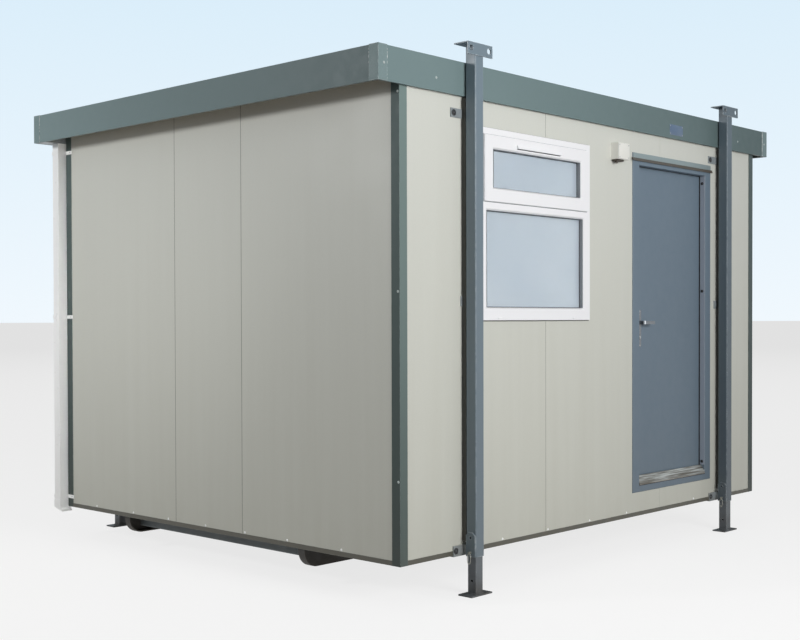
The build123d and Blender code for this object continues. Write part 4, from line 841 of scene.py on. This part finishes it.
# painted shade: a darker copy of the leg paint for the front right tube
leg_painted_shade = painted("leg_shade", colour(87, 100, 109), 0.4, bare=colour(200, 207, 210),
                   film=colour(66, 72, 76), film_amount=0.6, **LEG_WEAR_AND_HIGHLIGHT)
dress(leg_painted_shade, "leg_outer_front_right")
inner_grey = painted("inner_grey", colour(96, 101, 105), 0.45, bare=colour(168, 172, 174),
                     dirt=colour(66, 60, 54), clean_above=0.16, dirt_amount=0.9, blotch=0.2, speckle=0.12,
                     wear_width=0.004)
dress(inner_grey, *[f"leg_inner_{end}_{side}" for end in ("front", "rear") for side in ("left", "right")])
bracket_grey = painted("bracket_grey", colour(140, 147, 150), 0.4, bare=colour(190, 196, 198), dirt=MUD,
                       clean_above=0.6, dirt_amount=0.9, blotch=0.15, speckle=0.1)
dress(bracket_grey, "leg_brackets")
channel_black = painted("channel_black", colour(46, 46, 42), 0.6, bare=colour(96, 98, 96), dirt=MUD,
                        clean_above=0.6, dirt_amount=0.4, blotch=0.2, speckle=0.1)
dress(channel_black, "leg_channels")
pin_steel = painted("pin_steel", colour(136, 136, 126), 0.4, metallic=0.4, bare=colour(190, 188, 184))
dress(pin_steel, "leg_pins")


# ---------------------------------------------------------------- bracket bolts
# Two dark domed coach bolts on washers hold each low and each top bracket plate. Those of the top plates
# stand a little further apart.
LEG_X, LEG_Y = 1.305, 1.5835            # middles of the legs, either side of the cabin's middle
BOLT = [(0.0, 0.0096), (0.0060, 0.0088), (0.0106, 0.0060), (0.0124, 0.0024), (0.0166, 0.0022),
        (0.0168, 0.0)]
# each row: distance from the leg's middle, level, and the faces of the front and rear plates
LOW_ROW = (0.088, 0.228, -1.5285, 1.4365)
TOP_ROW = (0.097, 2.465, -1.5265, 1.4345)
bolt_dark = painted("bolt_dark", colour(42, 43, 45), 0.5, bare=colour(120, 118, 114), blotch=0.2,
                    speckle=0.1)
bolts = bmesh.new()
for x in (-LEG_X, LEG_X):
    for apart, z, front, rear in (LOW_ROW, TOP_ROW):
        for side in (-apart, apart):
            turned(bolts, BOLT, (x + side, front, z), (0, -1, 0), 14)
            turned(bolts, BOLT, (x + side, rear, z), (0, 1, 0), 14)
piece("bracket_bolts", bolts, bolt_dark)


# ---------------------------------------------------------------- pin clips
# Each pin is kept in by a wire clip on its end, on the left of the front legs and on the right of the
# rear ones as seen from the front. It is a ring of round wire, drawn out in height.
CLIP_OUT, CLIP_LEVEL = 0.051, 0.190     # the ring's middle: from the leg's middle, above the ground
RING, WIRE, DRAWN_OUT = 0.011, 0.0018, 2.4
clips = bmesh.new()
for y, out in ((-LEG_Y, -CLIP_OUT), (LEG_Y, CLIP_OUT)):
    for x in (-LEG_X + out, LEG_X + out):
        wire = bmesh.ops.create_circle(clips, cap_ends=False, segments=8, radius=WIRE,
                                       matrix=Matrix.Translation((x, y - RING, CLIP_LEVEL)))
        loop = list({edge for point in wire["verts"] for edge in point.link_edges})
        bmesh.ops.spin(clips, geom=wire["verts"] + loop, cent=(x, y, CLIP_LEVEL), axis=(1, 0, 0),
                       angle=math.tau, steps=20, use_merge=True)
for point in clips.verts:
    point.co.z = CLIP_LEVEL + (point.co.z - CLIP_LEVEL) * DRAWN_OUT
piece("pin_clips", clips, pin_steel)


# ---------------------------------------------------------------- foot welds
# A rounded weld bead joins each inner tube to its foot plate on all four sides. The beads are in the
# inner tubes' grimy paint.
TUBE_HALF, WELD_OUT, WELD_HALF = 0.0300, 0.0305, 0.0030
WELD_FOOT, WELD_HEAD, WELD_ROUND = 0.0065, 0.0125, 0.0027
welds = bmesh.new()
for x in (-LEG_X, LEG_X):
    for y in (-LEG_Y, LEG_Y):
        for out in (-WELD_OUT, WELD_OUT):
            for middle_x, middle_y, half_x, half_y in ((x, y + out, TUBE_HALF, WELD_HALF),
                                                       (x + out, y, WELD_HALF, TUBE_HALF)):
                block(welds, (middle_x - half_x, middle_y - half_y, WELD_FOOT),
                      (middle_x + half_x, middle_y + half_y, WELD_HEAD), WELD_ROUND)
piece("foot_welds", welds, inner_grey)


# ---------------------------------------------------------------- downpipe
# White square plastic pipe down the rear left corner, with its clips and shoe. One screw shows in each
# of the three clips.
pipe_white = painted("pipe_white", colour(255, 255, 254), 0.34, dirt=colour(190, 184, 170), clean_above=0.8,
                     dirt_amount=0.2, blotch=0.05, speckle=0.03, peel=0.003, peel_strength=0.06)
dress(pipe_white, "downpipe", "pipe_clips", "pipe_shoe")
clip_screws = bmesh.new()
for z in (2.495, 1.435, 0.271):
    turned(clip_screws, SCREW, (-1.808, 1.385, z), (-1, 0, 0), 8)
piece("clip_screws", clip_screws, screw_steel)
